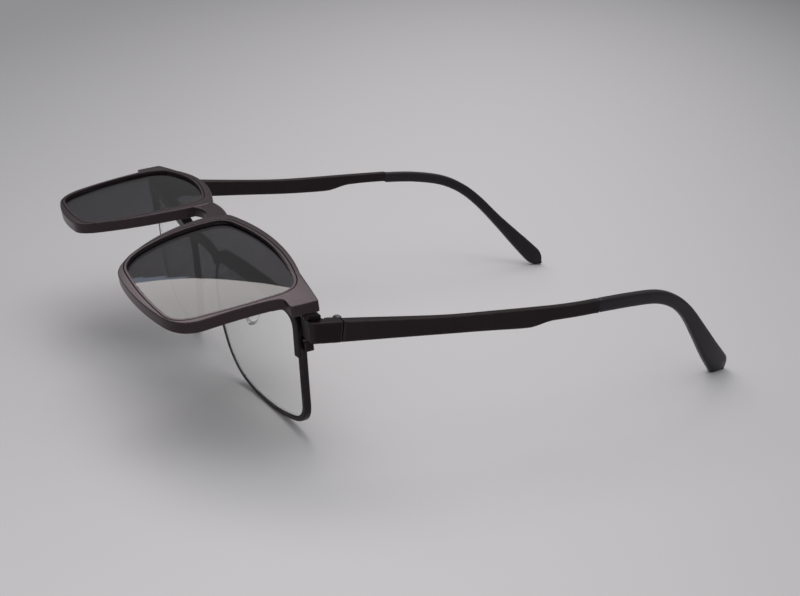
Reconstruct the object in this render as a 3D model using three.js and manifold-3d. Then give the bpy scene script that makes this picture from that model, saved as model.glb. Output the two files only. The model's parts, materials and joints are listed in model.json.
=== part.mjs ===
// Spectacles with a magnetic clip-on sun shade, shown with the shade flipped up.
// Millimetres, +Z up. +X is the wearer's left, the front looks along -Y, the temples run along +Y.

import * as THREE from 'three';
import { mergeVertices } from 'three/addons/utils/BufferGeometryUtils.js';
import Module from 'manifold-3d';

const wasm = await Module();
wasm.setup();

const degrees = THREE.MathUtils.degToRad;

// Clearances, how far joined solids run into each other and how far cutting shapes run past a face
const seatGap = 0.3;
const boreGap = 0.1;
const overlap = 0.05;
const overshoot = 1;

// Front: both lens planes share one gently curved face that leans forward at the top
const halfWidth = 69;
const frontTilt = degrees(8.5);
const frontAhead = 10.95;
const frontHeight = 20.1;
const acrossCurve = 0.0024;
const uprightCurve = 0.005;

// Eyeglass rim: half gap over the nose, distance in from the arms' outer faces, and height of each corner
const rimNoseTop = 8.4;
const rimNoseFoot = 13.4;
const rimInsetTop = 7.4;
const rimInsetFoot = 8.8;
const rimHighNose = 16.9;
const rimHighSide = 16;
const rimLowNose = -19.5;
const rimLowSide = -18.8;
// How far each corner of the rim is rounded and how much the side after it bows out
const rimOutline = [
  { u: rimNoseTop, v: rimHighNose, round: 8.5, bow: 0.9 },
  { u: halfWidth - rimInsetTop, v: rimHighSide, round: 5.5, bow: 0.5 },
  { u: halfWidth - rimInsetFoot, v: rimLowSide, round: 7.5, bow: 1.7 },
  { u: rimNoseFoot, v: rimLowNose, round: 10, bow: 1.2 },
];
const rimWidth = 1.3;
const rimDepth = 1.9;
const rimGroove = 0.7;
const grooveHeight = 1.2;
const lensThickness = 1.7;
const lensBite = 0.35;
const outlineSteps = 6;

// Brow strip over the front and top of each rim, ending in a step half way down the temple side
const browFront = 0.8;
const browCap = 1.1;
const browLegCap = 0.3;
const browEdgeRound = 0.3;
const browStepHeight = 0.5;
const bridgeHeight = 2.6;
const bridgeDepth = 1.8;
const bridgeArch = 1.6;

// Side arms: endpiece, temple bar and tip lie along one line that drops gently to the ear
const seamHeight = 33.1;
const sideSlope = degrees(2.5);
const barHeight = 5.68;
const barThickness = 3;
const slimThickness = 2.1;
const taperEnd = 33;
const endpieceReach = 9.45;
const platformWidth = 6.4;
const platformLength = 4.6;
const cornerRound = 1.2;
const innerRound = 0.6;

// Temple bar: heights of its upper and lower edge at stations along its length
const barLength = 77.6;
const barTopLine = [[0, 0], [16, -0.38], [33.5, -0.45], [45.5, 0.09], [64, 1.56], [barLength, 2.66]];
const barLowLine = [[0, 0], [16, 0.16], [33.5, 0.27], [45.5, 0.48], [54.7, 0.75], [58, 1.27], [61.8, 2.42],
  [65, 2.91], [barLength, 3.95]];
const barSteps = 22;
const edgeChamfer = 0.4;

// Temple tip: heights of its centre line behind the bar's end, its inward bend and its swelling paddle
const tipLine = [[0.4, 3.15], [11.4, 3.65], [22.4, 3.35], [30.4, 1], [37.4, -3.6], [45.7, -11.9],
  [53.9, -20.2], [62.6, -28]];
const tipProud = 0.15;
const tipHeight = 4.2;
const paddleHeight = 7.6;
const tipThickness = 2.9;
const bendStart = 60;
const bendEnd = 136;
const inwardBend = 14.5;
const tipSteps = 22;
const tangLength = 20;
const tangHeight = 2;
const tangThickness = 1;

// Temple hinge
const barrelRadius = 1.15;
const barrelHeight = 5.2;
const knuckleGap = 0.25;
const hingeScrewRadius = 0.5;
const screwHeadRadius = 0.9;
const screwHeadHeight = 0.5;
const leafThickness = 0.9;
const frontLeafLength = 2.4;
const templeLeafLength = 4.2;

// Closing block that clamps each rim round its lens
const blockWidth = 2.2;
const blockDepth = 2.4;
const blockAhead = 0.6;
const blockHeight = 2.8;
const blockDrop = 8.8;
const blockSlit = 0.5;
const blockHinge = 0.8;
const closingScrewRadius = 0.5;

// Nose pads on bent wire arms
const padArmRadius = 0.5;
const padEyeRadius = 1;
const padEyeWidth = 1;
const padLugWidth = 0.7;
const padScrewRadius = 0.4;
const padScrewHead = 0.7;
const padSize = new THREE.Vector3(1.2, 3.7, 6.6);
const padOffset = 2;
const padPlace = new THREE.Vector3(9.2, 11.8, -2.8);
const padArmRise = new THREE.Vector3(0, 3.5, 0.6);
const padArmKnee = 3.2;
const padTurn = new THREE.Euler(degrees(-6), degrees(-10), degrees(28));

// Clip-on shade: half gap over the nose and distance in from the arms' outer faces, at its top and foot
const clipNoseTop = 3.14;
const clipNoseFoot = 17.94;
const clipInsetTop = 7;
const clipInsetFoot = 9.15;
const openNoseTop = 8.58;
const openNoseFoot = 15.25;
const openInsetTop = 9.29;
const openInsetFoot = 11.58;
// Heights of the same corners, measured down from the shade's brow edge
const clipHighNose = 2.72;
const clipHighSide = 0.8;
const clipLowSide = 38.07;
const clipLowNose = 41.5;
const openHighNose = 4.87;
const openHighSide = 2.21;
const openLowSide = 37.06;
const openLowNose = 38.47;
// Outer and lens outlines of the shade
const clipOuter = [
  { u: clipNoseTop, w: clipHighNose, round: 5.8, bow: 3.2 },
  { u: halfWidth - clipInsetTop, w: clipHighSide, round: 8, bow: 0 },
  { u: halfWidth - clipInsetFoot, w: clipLowSide, round: 8.5, bow: 1.1 },
  { u: clipNoseFoot, w: clipLowNose, round: 6.5, bow: 2.4 },
];
const clipInner = [
  { u: openNoseTop, w: openHighNose, round: 5.2, bow: 1.1 },
  { u: halfWidth - openInsetTop, w: openHighSide, round: 7.1, bow: 0.7 },
  { u: halfWidth - openInsetFoot, w: openLowSide, round: 6.1, bow: 0.8 },
  { u: openNoseFoot, w: openLowNose, round: 8.3, bow: 1.2 },
];
const clipThickness = 3.1;
const clipMiddle = 17.5;
const clipEdgeRound = 0.5;
const clipLensThickness = 0.9;
const clipLensSeat = 0.9;
const clipGroove = 0.55;
const clipLensBite = 0.3;
const clipBridgeTop = 2.95;
const clipBridgeLow = 8;
const clipBridgeReach = 8.5;
const clipBridgeArch = 1.15;
const clipBridgeWaist = 2.2;
const clipBridgeFlare = 2.4;

// Ears of the shade, and the hinged magnet feet that stand on the endpieces
const earInset = 2.4;
const earTop = 1.9;
const earLow = 9.5;
const earRound = 0.8;
const earFillet = 3;
const earRoot = 7;
const earRootBand = 1;
const earClear = 0.84;
const flipAngle = degrees(86.5);
const pinBack = -0.2;
const pinDown = 6.09;
const pinRadius = 0.35;
const cheekRadius = 0.7;
const footRise = 0.1;
const footWidth = 4;
const footHeight = 1.4;
const footLength = 3.9;
const footWall = 0.4;
const footInset = 1.4;
const lugWidth = 1.6;
const lugSink = 0.6;
const magnetWidth = 2.6;
const magnetLength = 1.4;
const footMagnetHeight = 0.8;
const endpieceMagnetHeight = 1.2;

// Finishes
const finish = (color, metalness, roughness, extra = {}) =>
  new THREE.MeshStandardMaterial({ color, metalness, roughness, ...extra });
const blackMetal = finish(0x232022, 0.6, 0.45);
const gunmetal = finish(0x5c5458, 0.6, 0.5);
const tipRubber = finish(0x343236, 0, 0.6);
const steel = finish(0x8d8d92, 0.9, 0.3);
const magnetNickel = finish(0xa4a5aa, 0.9, 0.25);
const clearGlass = finish(0xe8eef0, 0, 0.05, { transparent: true, opacity: 0.25 });
const tintedGlass = finish(0x2c2b30, 0, 0.08, { transparent: true, opacity: 0.8 });
const padSilicone = finish(0xe4e6e4, 0, 0.3, { transparent: true, opacity: 0.5 });

// Mesh helpers

function outward(geometry) {
  const place = geometry.attributes.position;
  const index = geometry.index.array;
  const [a, b, c] = [new THREE.Vector3(), new THREE.Vector3(), new THREE.Vector3()];
  let volume = 0;
  for (let i = 0; i < index.length; i += 3) {
    a.fromBufferAttribute(place, index[i]);
    b.fromBufferAttribute(place, index[i + 1]);
    c.fromBufferAttribute(place, index[i + 2]);
    volume += a.dot(b.cross(c));
  }
  if (volume < 0) {
    for (let i = 0; i < index.length; i += 3) {
      [index[i], index[i + 1]] = [index[i + 1], index[i]];
    }
  }
  geometry.computeVertexNormals();
  return geometry;
}

function plain(geometry) {
  const bare = geometry.clone();
  bare.deleteAttribute('normal');
  bare.deleteAttribute('uv');
  return outward(mergeVertices(bare, 1e-4));
}

function toSolid(geometry) {
  const bare = plain(geometry);
  return new wasm.Manifold(new wasm.Mesh({
    numProp: 3,
    vertProperties: new Float32Array(bare.attributes.position.array),
    triVerts: new Uint32Array(bare.index.array),
  }));
}

function fromSolid(solid) {
  const mesh = solid.getMesh();
  const geometry = new THREE.BufferGeometry();
  geometry.setAttribute('position', new THREE.BufferAttribute(new Float32Array(mesh.vertProperties), 3));
  geometry.setIndex(new THREE.BufferAttribute(new Uint32Array(mesh.triVerts), 1));
  geometry.computeVertexNormals();
  return geometry;
}

const join = (first, ...others) =>
  fromSolid(others.reduce((whole, other) => whole.add(toSolid(other)), toSolid(first)));

const cut = (body, ...tools) =>
  fromSolid(tools.reduce((whole, tool) => whole.subtract(toSolid(tool)), toSolid(body)));

function mirrored(geometry) {
  return outward(plain(geometry).scale(-1, 1, 1));
}

// A skin through rings of equal count, closed on itself or capped with flat fans at both ends
function loft(rings, endless = false) {
  const count = rings[0].length;
  const points = rings.flat();
  const index = [];
  const bands = endless ? rings.length : rings.length - 1;
  for (let i = 0; i < bands; i += 1) {
    const here = i * count;
    const there = ((i + 1) % rings.length) * count;
    for (let k = 0; k < count; k += 1) {
      const next = (k + 1) % count;
      index.push(here + k, here + next, there + next, here + k, there + next, there + k);
    }
  }
  if (!endless) {
    const last = (rings.length - 1) * count;
    for (let k = 1; k < count - 1; k += 1) {
      index.push(0, k + 1, k, last, last + k, last + k + 1);
    }
  }
  const geometry = new THREE.BufferGeometry().setFromPoints(points);
  geometry.setIndex(index);
  return outward(geometry);
}

function box(low, high) {
  const size = new THREE.Vector3().subVectors(high, low);
  const middle = new THREE.Vector3().addVectors(low, high).multiplyScalar(0.5);
  return new THREE.BoxGeometry(size.x, size.y, size.z).translate(middle.x, middle.y, middle.z);
}

const spot = (x, y, z) => new THREE.Vector3(x, y, z);

// A round bar between two heights on an upright axis
function uprightBar(x, y, low, high, radius, sides = 16) {
  const bar = new THREE.CylinderGeometry(radius, radius, high - low, sides).rotateX(Math.PI / 2);
  return bar.translate(x, y, (low + high) / 2);
}

// A round bar along X
function crossBar(low, high, y, z, radius, sides = 16) {
  const bar = new THREE.CylinderGeometry(radius, radius, high - low, sides).rotateZ(Math.PI / 2);
  return bar.translate((low + high) / 2, y, z);
}

// A side-view shape, drawn in Y and Z, made solid along X
function alongX(shape, low, high, curveSegments = 8) {
  const slab = new THREE.ExtrudeGeometry(shape, { depth: high - low, bevelEnabled: false, curveSegments });
  slab.applyMatrix4(new THREE.Matrix4().makeBasis(spot(0, 1, 0), spot(0, 0, 1), spot(1, 0, 0)));
  return slab.translate(low, 0, 0);
}

// Outlines

function crossing(a, b, c, d) {
  const along = b.clone().sub(a);
  const other = d.clone().sub(c);
  const share = c.clone().sub(a).cross(other) / along.cross(other);
  return a.clone().addScaledVector(along, share);
}

// Points round a four-sided outline with bowed sides and smoothly rounded corners
function outlinePoints(corners) {
  const spots = corners.map((corner) => new THREE.Vector2(corner.u, corner.v));
  const middle = spots.reduce((sum, p) => sum.add(p), new THREE.Vector2()).divideScalar(spots.length);
  const sides = corners.map((corner, i) => {
    const from = spots[i];
    const to = spots[(i + 1) % spots.length];
    const along = to.clone().sub(from).normalize();
    const start = from.clone().addScaledVector(along, corner.round);
    const end = to.clone().addScaledVector(along, -corners[(i + 1) % corners.length].round);
    const halfway = start.clone().lerp(end, 0.5);
    const out = new THREE.Vector2(along.y, -along.x);
    if (out.dot(halfway.clone().sub(middle)) < 0) {
      out.negate();
    }
    return { start, end, peak: halfway.addScaledVector(out, 2 * corner.bow) };
  });
  const points = [];
  sides.forEach((side, i) => {
    const next = sides[(i + 1) % sides.length];
    const turn = crossing(side.peak, side.end, next.start, next.peak);
    const bowed = new THREE.QuadraticBezierCurve(side.start, side.peak, side.end);
    const corner = new THREE.QuadraticBezierCurve(side.end, turn, next.start);
    points.push(...bowed.getPoints(outlineSteps).slice(0, -1), ...corner.getPoints(outlineSteps).slice(0, -1));
  });
  return points;
}

// The outline moved outwards by a distance, point for point
function offsetOutline(points, distance) {
  const turning = Math.sign(THREE.ShapeUtils.area(points));
  return points.map((point, i) => {
    const before = points[(i + points.length - 1) % points.length];
    const after = points[(i + 1) % points.length];
    const along = after.clone().sub(before).normalize();
    return point.clone().addScaledVector(new THREE.Vector2(along.y, -along.x), turning * distance);
  });
}

// Depth of the curved face behind its foremost point
const faceDepth = (u, v, middle) => (acrossCurve * u * u + uprightCurve * (v - middle) ** 2) / 2;

const onFace = (point, depth, middle) =>
  spot(point.x, depth + faceDepth(point.x, point.y, middle), point.y);

// A frame ring between outlines: each profile corner names its outline and its depth
function frameRing(outlines, profile, middle) {
  const rings = outlines[0].map((_, i) =>
    profile.map(([outline, depth]) => onFace(outlines[outline][i], depth, middle)));
  return loft(rings, true);
}

// A lens blank: domed front and back faces that meet in an edge with a raised middle
function lensBlank(faceEdge, biteEdge, depth, thickness, middle) {
  const shares = [0.45, 0.8, 1];
  const centre = faceEdge.reduce((sum, p) => sum.add(p), new THREE.Vector2()).divideScalar(faceEdge.length);
  const count = faceEdge.length;
  const points = [onFace(centre, depth, middle), onFace(centre, depth + thickness, middle)];
  const rows = [];
  const addRow = (edge, share, level) => {
    rows.push(points.length);
    edge.forEach((point) => points.push(onFace(centre.clone().lerp(point, share), level, middle)));
  };
  shares.forEach((share) => addRow(faceEdge, share, depth));
  addRow(biteEdge, 1, depth + thickness / 2);
  shares.slice().reverse().forEach((share) => addRow(faceEdge, share, depth + thickness));
  const index = [];
  for (let k = 0; k < count; k += 1) {
    const next = (k + 1) % count;
    index.push(0, rows[0] + k, rows[0] + next);
    for (let row = 0; row < rows.length - 1; row += 1) {
      const [a, b] = [rows[row], rows[row + 1]];
      index.push(a + k, b + k, b + next, a + k, b + next, a + next);
    }
    const back = rows[rows.length - 1];
    index.push(1, back + next, back + k);
  }
  const geometry = new THREE.BufferGeometry().setFromPoints(points);
  geometry.setIndex(index);
  return outward(geometry);
}

// Scene groups

const glasses = new THREE.Group();
const front = new THREE.Group();
const sides = new THREE.Group();
const clip = new THREE.Group();
glasses.add(front, sides, clip);

front.position.set(0, -frontAhead, frontHeight);
front.rotation.x = frontTilt;
sides.position.z = seamHeight;
sides.rotation.x = -sideSlope;

const barHalf = barHeight / 2;
const pinY = pinBack - endpieceReach;
const footBottom = barHalf + footRise;
const pinZ = footBottom + cheekRadius;
glasses.updateMatrixWorld(true);
clip.position.copy(sides.localToWorld(spot(0, pinY, pinZ)));
clip.rotation.x = frontTilt - flipAngle;
glasses.updateMatrixWorld(true);

function add(group, name, geometry, material) {
  const mesh = new THREE.Mesh(plain(geometry), material);
  mesh.name = name;
  group.add(mesh);
}

function addPair(group, name, geometry, material) {
  add(group, `${name}_left`, geometry, material);
  add(group, `${name}_right`, mirrored(geometry), material);
}

// Everything below the table is taken off, which leaves small flats to rest on
function standOnTable(geometry, group) {
  const reach = 400;
  const below = box(spot(-reach, -reach, -reach), spot(reach, reach, 0));
  return cut(geometry, below.applyMatrix4(group.matrixWorld.clone().invert()));
}

// Eyeglass front

const rimEdge = outlinePoints(rimOutline);
const rimInside = offsetOutline(rimEdge, -rimWidth);
const grooveFloor = offsetOutline(rimInside, rimGroove);

function rim() {
  const half = rimDepth / 2;
  const groove = grooveHeight / 2;
  const softEdge = 0.3;
  const profile = [
    [0, -half], [2, -half], [2, -groove], [3, 0], [2, groove], [2, half], [0, half], [1, half - softEdge],
    [1, softEdge - half],
  ];
  const shoulder = offsetOutline(rimEdge, -softEdge);
  return standOnTable(frameRing([shoulder, rimEdge, rimInside, grooveFloor], profile, 0), front);
}

function lens() {
  const face = offsetOutline(rimInside, -seatGap);
  const bite = offsetOutline(rimInside, lensBite);
  return lensBlank(face, bite, -lensThickness / 2, lensThickness, 0);
}

// The strip covers the rim's front and caps its top, from the bridge to the step on the temple side
function brow() {
  const first = rimEdge.length - outlineSteps / 2;
  const seat = -rimDepth / 2 - seatGap;
  const face = seat - browFront;
  const legTop = rimHighSide - rimOutline[1].round;
  const lip = offsetOutline(rimEdge, seatGap);
  const rings = [];
  for (let k = 0; k < 3.5 * outlineSteps; k += 1) {
    const i = (first + k) % rimEdge.length;
    const beside = rimEdge[i].x > rimOutline[1].u - rimOutline[1].round;
    const share = beside ? THREE.MathUtils.smoothstep(rimEdge[i].y, legTop, rimHighSide) : 1;
    const cap = seatGap + THREE.MathUtils.lerp(browLegCap, browCap, share);
    const capBack = THREE.MathUtils.lerp(seat + browLegCap, rimDepth / 2, share);
    const outer = offsetOutline(rimEdge, cap)[i];
    const shoulder = offsetOutline(rimEdge, cap - browEdgeRound)[i];
    const innerShoulder = offsetOutline(rimInside, browEdgeRound)[i];
    rings.push([
      onFace(lip[i], seat, 0), onFace(rimInside[i], seat, 0), onFace(rimInside[i], face + browEdgeRound, 0),
      onFace(innerShoulder, face, 0), onFace(shoulder, face, 0), onFace(outer, face + browEdgeRound, 0),
      onFace(outer, capBack, 0), onFace(lip[i], capBack, 0),
    ]);
    if (beside && rimEdge[i].y < browStepHeight) {
      break;
    }
  }
  return loft(rings);
}

// Where the brow strip's outer edge starts beside the bridge, half way round the rim's nasal corner
const browRoot = offsetOutline(rimEdge, seatGap + browCap)[rimEdge.length - outlineSteps / 2];

// The bridge is a low arch between the two brows
function bridge() {
  const reach = browRoot.x - seatGap;
  const steps = 10;
  const rings = [];
  for (let k = 0; k <= steps; k += 1) {
    const u = THREE.MathUtils.lerp(-reach, reach, k / steps);
    const v = browRoot.y - bridgeHeight / 2 + bridgeArch * (1 - (u / reach) ** 2);
    const corners = [[-1, -1], [-1, 1], [1, 1], [1, -1]];
    rings.push(corners.map(([fore, high]) =>
      onFace(new THREE.Vector2(u, v + high * bridgeHeight / 2), fore * bridgeDepth / 2, 0)));
  }
  return loft(rings);
}

// The block sits on the rim's temple side: along and high run from its middle, depth from its front
const rimReach = Math.max(...rimEdge.map((point) => point.x));
const blockSpot = (along, depth, high) => {
  const u = rimReach + seatGap + blockWidth / 2;
  const v = rimHighSide - blockDrop;
  return spot(u + along, faceDepth(rimReach, v, 0) - blockAhead + depth, v + high);
};

function closingBlock() {
  const low = blockSpot(-blockWidth / 2, 0, -blockHeight / 2);
  const high = blockSpot(blockWidth / 2, blockDepth, blockHeight / 2);
  const slit = box(
    blockSpot(-blockWidth, -blockDepth, -blockSlit / 2),
    blockSpot(blockWidth, blockDepth - blockHinge, blockSlit / 2),
  );
  const axis = blockSpot(0, blockDepth / 2 - blockHinge / 2, 0);
  const bore = uprightBar(axis.x, axis.y, low.z - overshoot, high.z + overshoot, closingScrewRadius + boreGap);
  return cut(box(low, high), slit, bore);
}

// A screw: a shank with a wider slotted head at its upper end
function screw(x, y, low, high, shankRadius, headRadius, headHeight) {
  const shank = uprightBar(x, y, low, high, shankRadius);
  const head = uprightBar(x, y, high - overlap, high + headHeight, headRadius);
  const slotWidth = headRadius / 3;
  const slot = box(
    spot(x - slotWidth / 2, y - 2 * headRadius, high + headHeight / 2),
    spot(x + slotWidth / 2, y + 2 * headRadius, high + 2 * headHeight),
  );
  return cut(join(shank, head), slot);
}

function closingScrew() {
  const axis = blockSpot(0, blockDepth / 2 - blockHinge / 2, 0);
  const half = blockHeight / 2;
  return screw(axis.x, axis.y, axis.z - half, axis.z + half + boreGap, closingScrewRadius, screwHeadRadius,
    screwHeadHeight);
}

// Nose pads: the eye of the arm sits between two lugs of the pad, on one small screw
const padFrame = new THREE.Matrix4().compose(
  padPlace, new THREE.Quaternion().setFromEuler(padTurn), spot(1, 1, 1));

// A round bar along Y, with its middle at the eye of the pad arm
function eyeBar(low, high, radius) {
  return new THREE.CylinderGeometry(radius, radius, high - low, 16).translate(0, (low + high) / 2, 0);
}

function padArm() {
  const eye = cut(
    eyeBar(-padEyeWidth / 2, padEyeWidth / 2, padEyeRadius),
    eyeBar(-padEyeWidth, padEyeWidth, padScrewRadius + boreGap),
  ).applyMatrix4(padFrame);
  const meet = spot(padEyeRadius * 0.75, 0, 0).applyMatrix4(padFrame);
  const root = offsetOutline(rimEdge, -rimWidth / 2)[rimEdge.length - outlineSteps * 1.5];
  const start = onFace(root, rimDepth / 2 + seatGap, 0);
  const route = new THREE.CatmullRomCurve3([
    start,
    start.clone().add(padArmRise),
    spot(padArmKnee, 0, 0).applyMatrix4(padFrame),
    meet,
  ]);
  const section = new THREE.Shape().absarc(0, 0, padArmRadius, 0, 2 * Math.PI);
  const wire = new THREE.ExtrudeGeometry(section, { extrudePath: route, steps: 10, curveSegments: 4 });
  return join(wire, eye);
}

function nosePad() {
  const cushion = new THREE.SphereGeometry(1, 14, 8).scale(padSize.x, padSize.y, padSize.z);
  cushion.translate(-padOffset, 0, 0);
  const lugs = [-1, 1].map((side) => {
    const near = side * (padEyeWidth / 2 + knuckleGap);
    const far = near + side * padLugWidth;
    const [low, high] = [Math.min(near, far), Math.max(near, far)];
    const root = box(spot(-padOffset, low, -padEyeRadius), spot(0, high, padEyeRadius));
    return join(eyeBar(low, high, padEyeRadius), root);
  });
  const bore = eyeBar(-padSize.y, padSize.y, padScrewRadius + boreGap);
  const room = eyeBar(-padEyeWidth / 2 - knuckleGap, padEyeWidth / 2 + knuckleGap, padEyeRadius + knuckleGap);
  return cut(join(cushion, ...lugs), bore, room).applyMatrix4(padFrame);
}

function padScrew() {
  const half = padEyeWidth / 2 + knuckleGap + padLugWidth + boreGap;
  const shank = eyeBar(-half, half, padScrewRadius);
  const heads = [-1, 1].map((side) => {
    const ends = [side * (half - overlap), side * (half + padScrewRadius)];
    return eyeBar(Math.min(...ends), Math.max(...ends), padScrewHead);
  });
  return join(shank, ...heads).applyMatrix4(padFrame);
}

// Endpieces and temple hinges

function endpiece() {
  const inner = halfWidth - platformWidth;
  const barInside = halfWidth - barThickness;
  const ahead = -endpieceReach;
  const platformBack = ahead + platformLength;
  const plan = new THREE.Shape();
  plan.moveTo(halfWidth, -seatGap / 2);
  plan.lineTo(barInside, -seatGap / 2);
  plan.lineTo(barInside, platformBack + innerRound);
  plan.quadraticCurveTo(barInside, platformBack, barInside - innerRound, platformBack);
  plan.lineTo(inner, platformBack);
  plan.lineTo(inner, ahead);
  plan.lineTo(halfWidth - cornerRound, ahead);
  plan.quadraticCurveTo(halfWidth, ahead, halfWidth, ahead + cornerRound);
  const block = new THREE.ExtrudeGeometry(plan, { depth: barHeight, bevelEnabled: false, curveSegments: 5 });
  block.translate(0, 0, -barHalf);
  const lean = Math.tan(frontTilt + sideSlope);
  const place = block.attributes.position;
  for (let i = 0; i < place.count; i += 1) {
    if (place.getY(i) < ahead + 2 * cornerRound) {
      place.setY(i, place.getY(i) + (barHalf - place.getZ(i)) * lean);
    }
  }
  const pocket = magnetBox(barHalf - endpieceMagnetHeight - seatGap, barHalf + overshoot, seatGap);
  return cut(block, pocket);
}

// The space that a magnet takes between two heights, with a margin round it
function magnetBox(low, high, margin) {
  const across = footMiddle;
  const along = pinY + footLength - magnetLength / 2 - footWall - seatGap;
  return box(
    spot(across - magnetWidth / 2 - margin, along - magnetLength / 2 - margin, low),
    spot(across + magnetWidth / 2 + margin, along + magnetLength / 2 + margin, high),
  );
}

const hingeAcross = halfWidth - barThickness - barrelRadius - knuckleGap;
const knuckleHalf = barrelHeight / 6;

// A hinge leaf: a plate on the arm's inner side and knuckles round the axis. side is -1 towards the front
function hingeLeaf(side, leafLength, layers, plateHalf) {
  const plateOut = halfWidth - barThickness - seatGap;
  const plateIn = plateOut - leafThickness;
  const start = barrelRadius + knuckleGap;
  const ends = [side * start, side * (start + leafLength)];
  const plate = box(
    spot(plateIn, Math.min(...ends), -plateHalf),
    spot(plateOut, Math.max(...ends), plateHalf),
  );
  const knuckles = layers.map(([low, high]) => {
    const arm = [0, side * (start + overlap)];
    const web = box(spot(plateIn, Math.min(...arm), low), spot(plateOut, Math.max(...arm), high));
    return join(uprightBar(hingeAcross, 0, low, high, barrelRadius), web);
  });
  const bore = uprightBar(hingeAcross, 0, -barrelHeight, barrelHeight, hingeScrewRadius + boreGap);
  return cut(join(plate, ...knuckles), bore);
}

function frontLeaf() {
  const outer = barrelHeight / 2;
  const inner = knuckleHalf + knuckleGap;
  return hingeLeaf(-1, frontLeafLength, [[inner, outer], [-outer, -inner]], outer);
}

function templeLeaf() {
  return hingeLeaf(1, templeLeafLength, [[-knuckleHalf, knuckleHalf]], barHeight / 2 - edgeChamfer - seatGap);
}

function hingeScrew() {
  const half = barrelHeight / 2;
  return screw(hingeAcross, 0, -half, half + boreGap, hingeScrewRadius, screwHeadRadius, screwHeadHeight);
}

// Temples

const lineThrough = (stations) => new THREE.SplineCurve(stations.map(([y, z]) => new THREE.Vector2(y, z)));

// Height of a spline at a station along the arm, found by halving
function heightAt(curve, y) {
  let low = 0;
  let high = 1;
  for (let i = 0; i < 40; i += 1) {
    const middle = (low + high) / 2;
    if (curve.getPoint(middle).x < y) {
      low = middle;
    } else {
      high = middle;
    }
  }
  return curve.getPoint(low).y;
}

const barTop = lineThrough(barTopLine);
const barLow = lineThrough(barLowLine);
const tipCentre = lineThrough(tipLine.map(([behind, z]) => [barLength + behind, z]));

// How far the arm has bent in towards the head
const bentIn = (y) => inwardBend * (Math.max(y - bendStart, 0) / (bendEnd - bendStart)) ** 2;

// A flat bar's section with its four long edges chamfered
function barSection(y, outside, thickness, low, high, chamfer) {
  const inside = outside - thickness;
  return [
    spot(outside, y, low + chamfer), spot(outside, y, high - chamfer), spot(outside - chamfer, y, high),
    spot(inside + chamfer, y, high), spot(inside, y, high - chamfer), spot(inside, y, low + chamfer),
    spot(inside + chamfer, y, low), spot(outside - chamfer, y, low),
  ];
}

function tangSection(y, margin) {
  const middle = heightAt(tipCentre, y);
  const outside = halfWidth - bentIn(y) - (slimThickness - tangThickness) / 2 + margin;
  const half = tangHeight / 2 + margin;
  return barSection(y, outside, tangThickness + 2 * margin, middle - half, middle + half, 0.2);
}

function templeBar() {
  const rings = [];
  for (let k = 0; k <= barSteps; k += 1) {
    const y = THREE.MathUtils.lerp(seatGap / 2, barLength, k / barSteps);
    const slim = THREE.MathUtils.smoothstep(y, templeLeafLength + 2, taperEnd);
    const thickness = THREE.MathUtils.lerp(barThickness, slimThickness, slim);
    const high = barHalf + heightAt(barTop, y);
    const low = heightAt(barLow, y) - barHalf;
    rings.push(barSection(y, halfWidth - bentIn(y), thickness, low, high, edgeChamfer));
  }
  const tangSteps = 4;
  for (let k = 0; k <= tangSteps; k += 1) {
    rings.push(tangSection(barLength + tangLength * k / tangSteps, 0));
  }
  return loft(rings);
}

// The tip's section is a rounded slab square to its centre line, swelling into a paddle at its end
function tipSection(share) {
  const sidesCount = 12;
  const squareness = 0.55;
  const [swellFrom, swellTo, endFrom] = [0.55, 0.95, 0.93];
  const endNarrowing = 0.35;
  const point = tipCentre.getPoint(share);
  const along = tipCentre.getTangent(share);
  const swell = THREE.MathUtils.smoothstep(share, swellFrom, swellTo);
  const close = Math.sqrt(1 - endNarrowing * THREE.MathUtils.smoothstep(share, endFrom, 1));
  const height = THREE.MathUtils.lerp(tipHeight, paddleHeight, swell) * close;
  const thickness = THREE.MathUtils.lerp(slimThickness + 2 * tipProud, tipThickness, share) * close;
  const middle = halfWidth + tipProud - bentIn(point.x) - thickness / 2;
  const ring = [];
  for (let k = 0; k < sidesCount; k += 1) {
    const angle = 2 * Math.PI * (k + 0.5) / sidesCount;
    const squarer = (value) => Math.sign(value) * Math.abs(value) ** squareness;
    const rise = squarer(Math.sin(angle)) * height / 2;
    const out = squarer(Math.cos(angle)) * thickness / 2;
    ring.push(spot(middle + out, point.x - along.y * rise, point.y + along.x * rise));
  }
  return ring;
}

function templeTip() {
  const rings = [];
  for (let k = 0; k <= tipSteps; k += 1) {
    rings.push(tipSection(k / tipSteps));
  }
  const bore = [];
  const boreSteps = 5;
  const boreEnd = barLength + tangLength + seatGap;
  for (let k = 0; k <= boreSteps; k += 1) {
    bore.push(tangSection(THREE.MathUtils.lerp(barLength - overshoot, boreEnd, k / boreSteps), seatGap));
  }
  return standOnTable(cut(loft(rings), loft(bore)), sides);
}

// Clip-on shade

const dropped = (corners) => corners.map(({ w, ...corner }) => ({ ...corner, v: pinDown - w }));
const clipEdge = outlinePoints(dropped(clipOuter));
const clipOpening = outlinePoints(dropped(clipInner));
const clipCentre = pinDown - clipMiddle;
const footMiddle = halfWidth - earInset - footInset;
const clipFace = -earClear - clipThickness - faceDepth(footMiddle, 0, clipCentre);

// A slab of the shade drawn as a flat shape: it takes the curve of the face
function clipSlab(shape, foreGap) {
  const depth = clipThickness - 2 * foreGap;
  const slab = new THREE.ExtrudeGeometry(shape, { depth, bevelEnabled: false, curveSegments: 6 });
  const place = slab.attributes.position;
  for (let i = 0; i < place.count; i += 1) {
    const point = new THREE.Vector2(place.getX(i), pinDown - place.getY(i));
    const seat = onFace(point, clipFace + foreGap + place.getZ(i), clipCentre);
    place.setXYZ(i, seat.x, seat.y, seat.z);
  }
  return slab;
}

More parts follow.
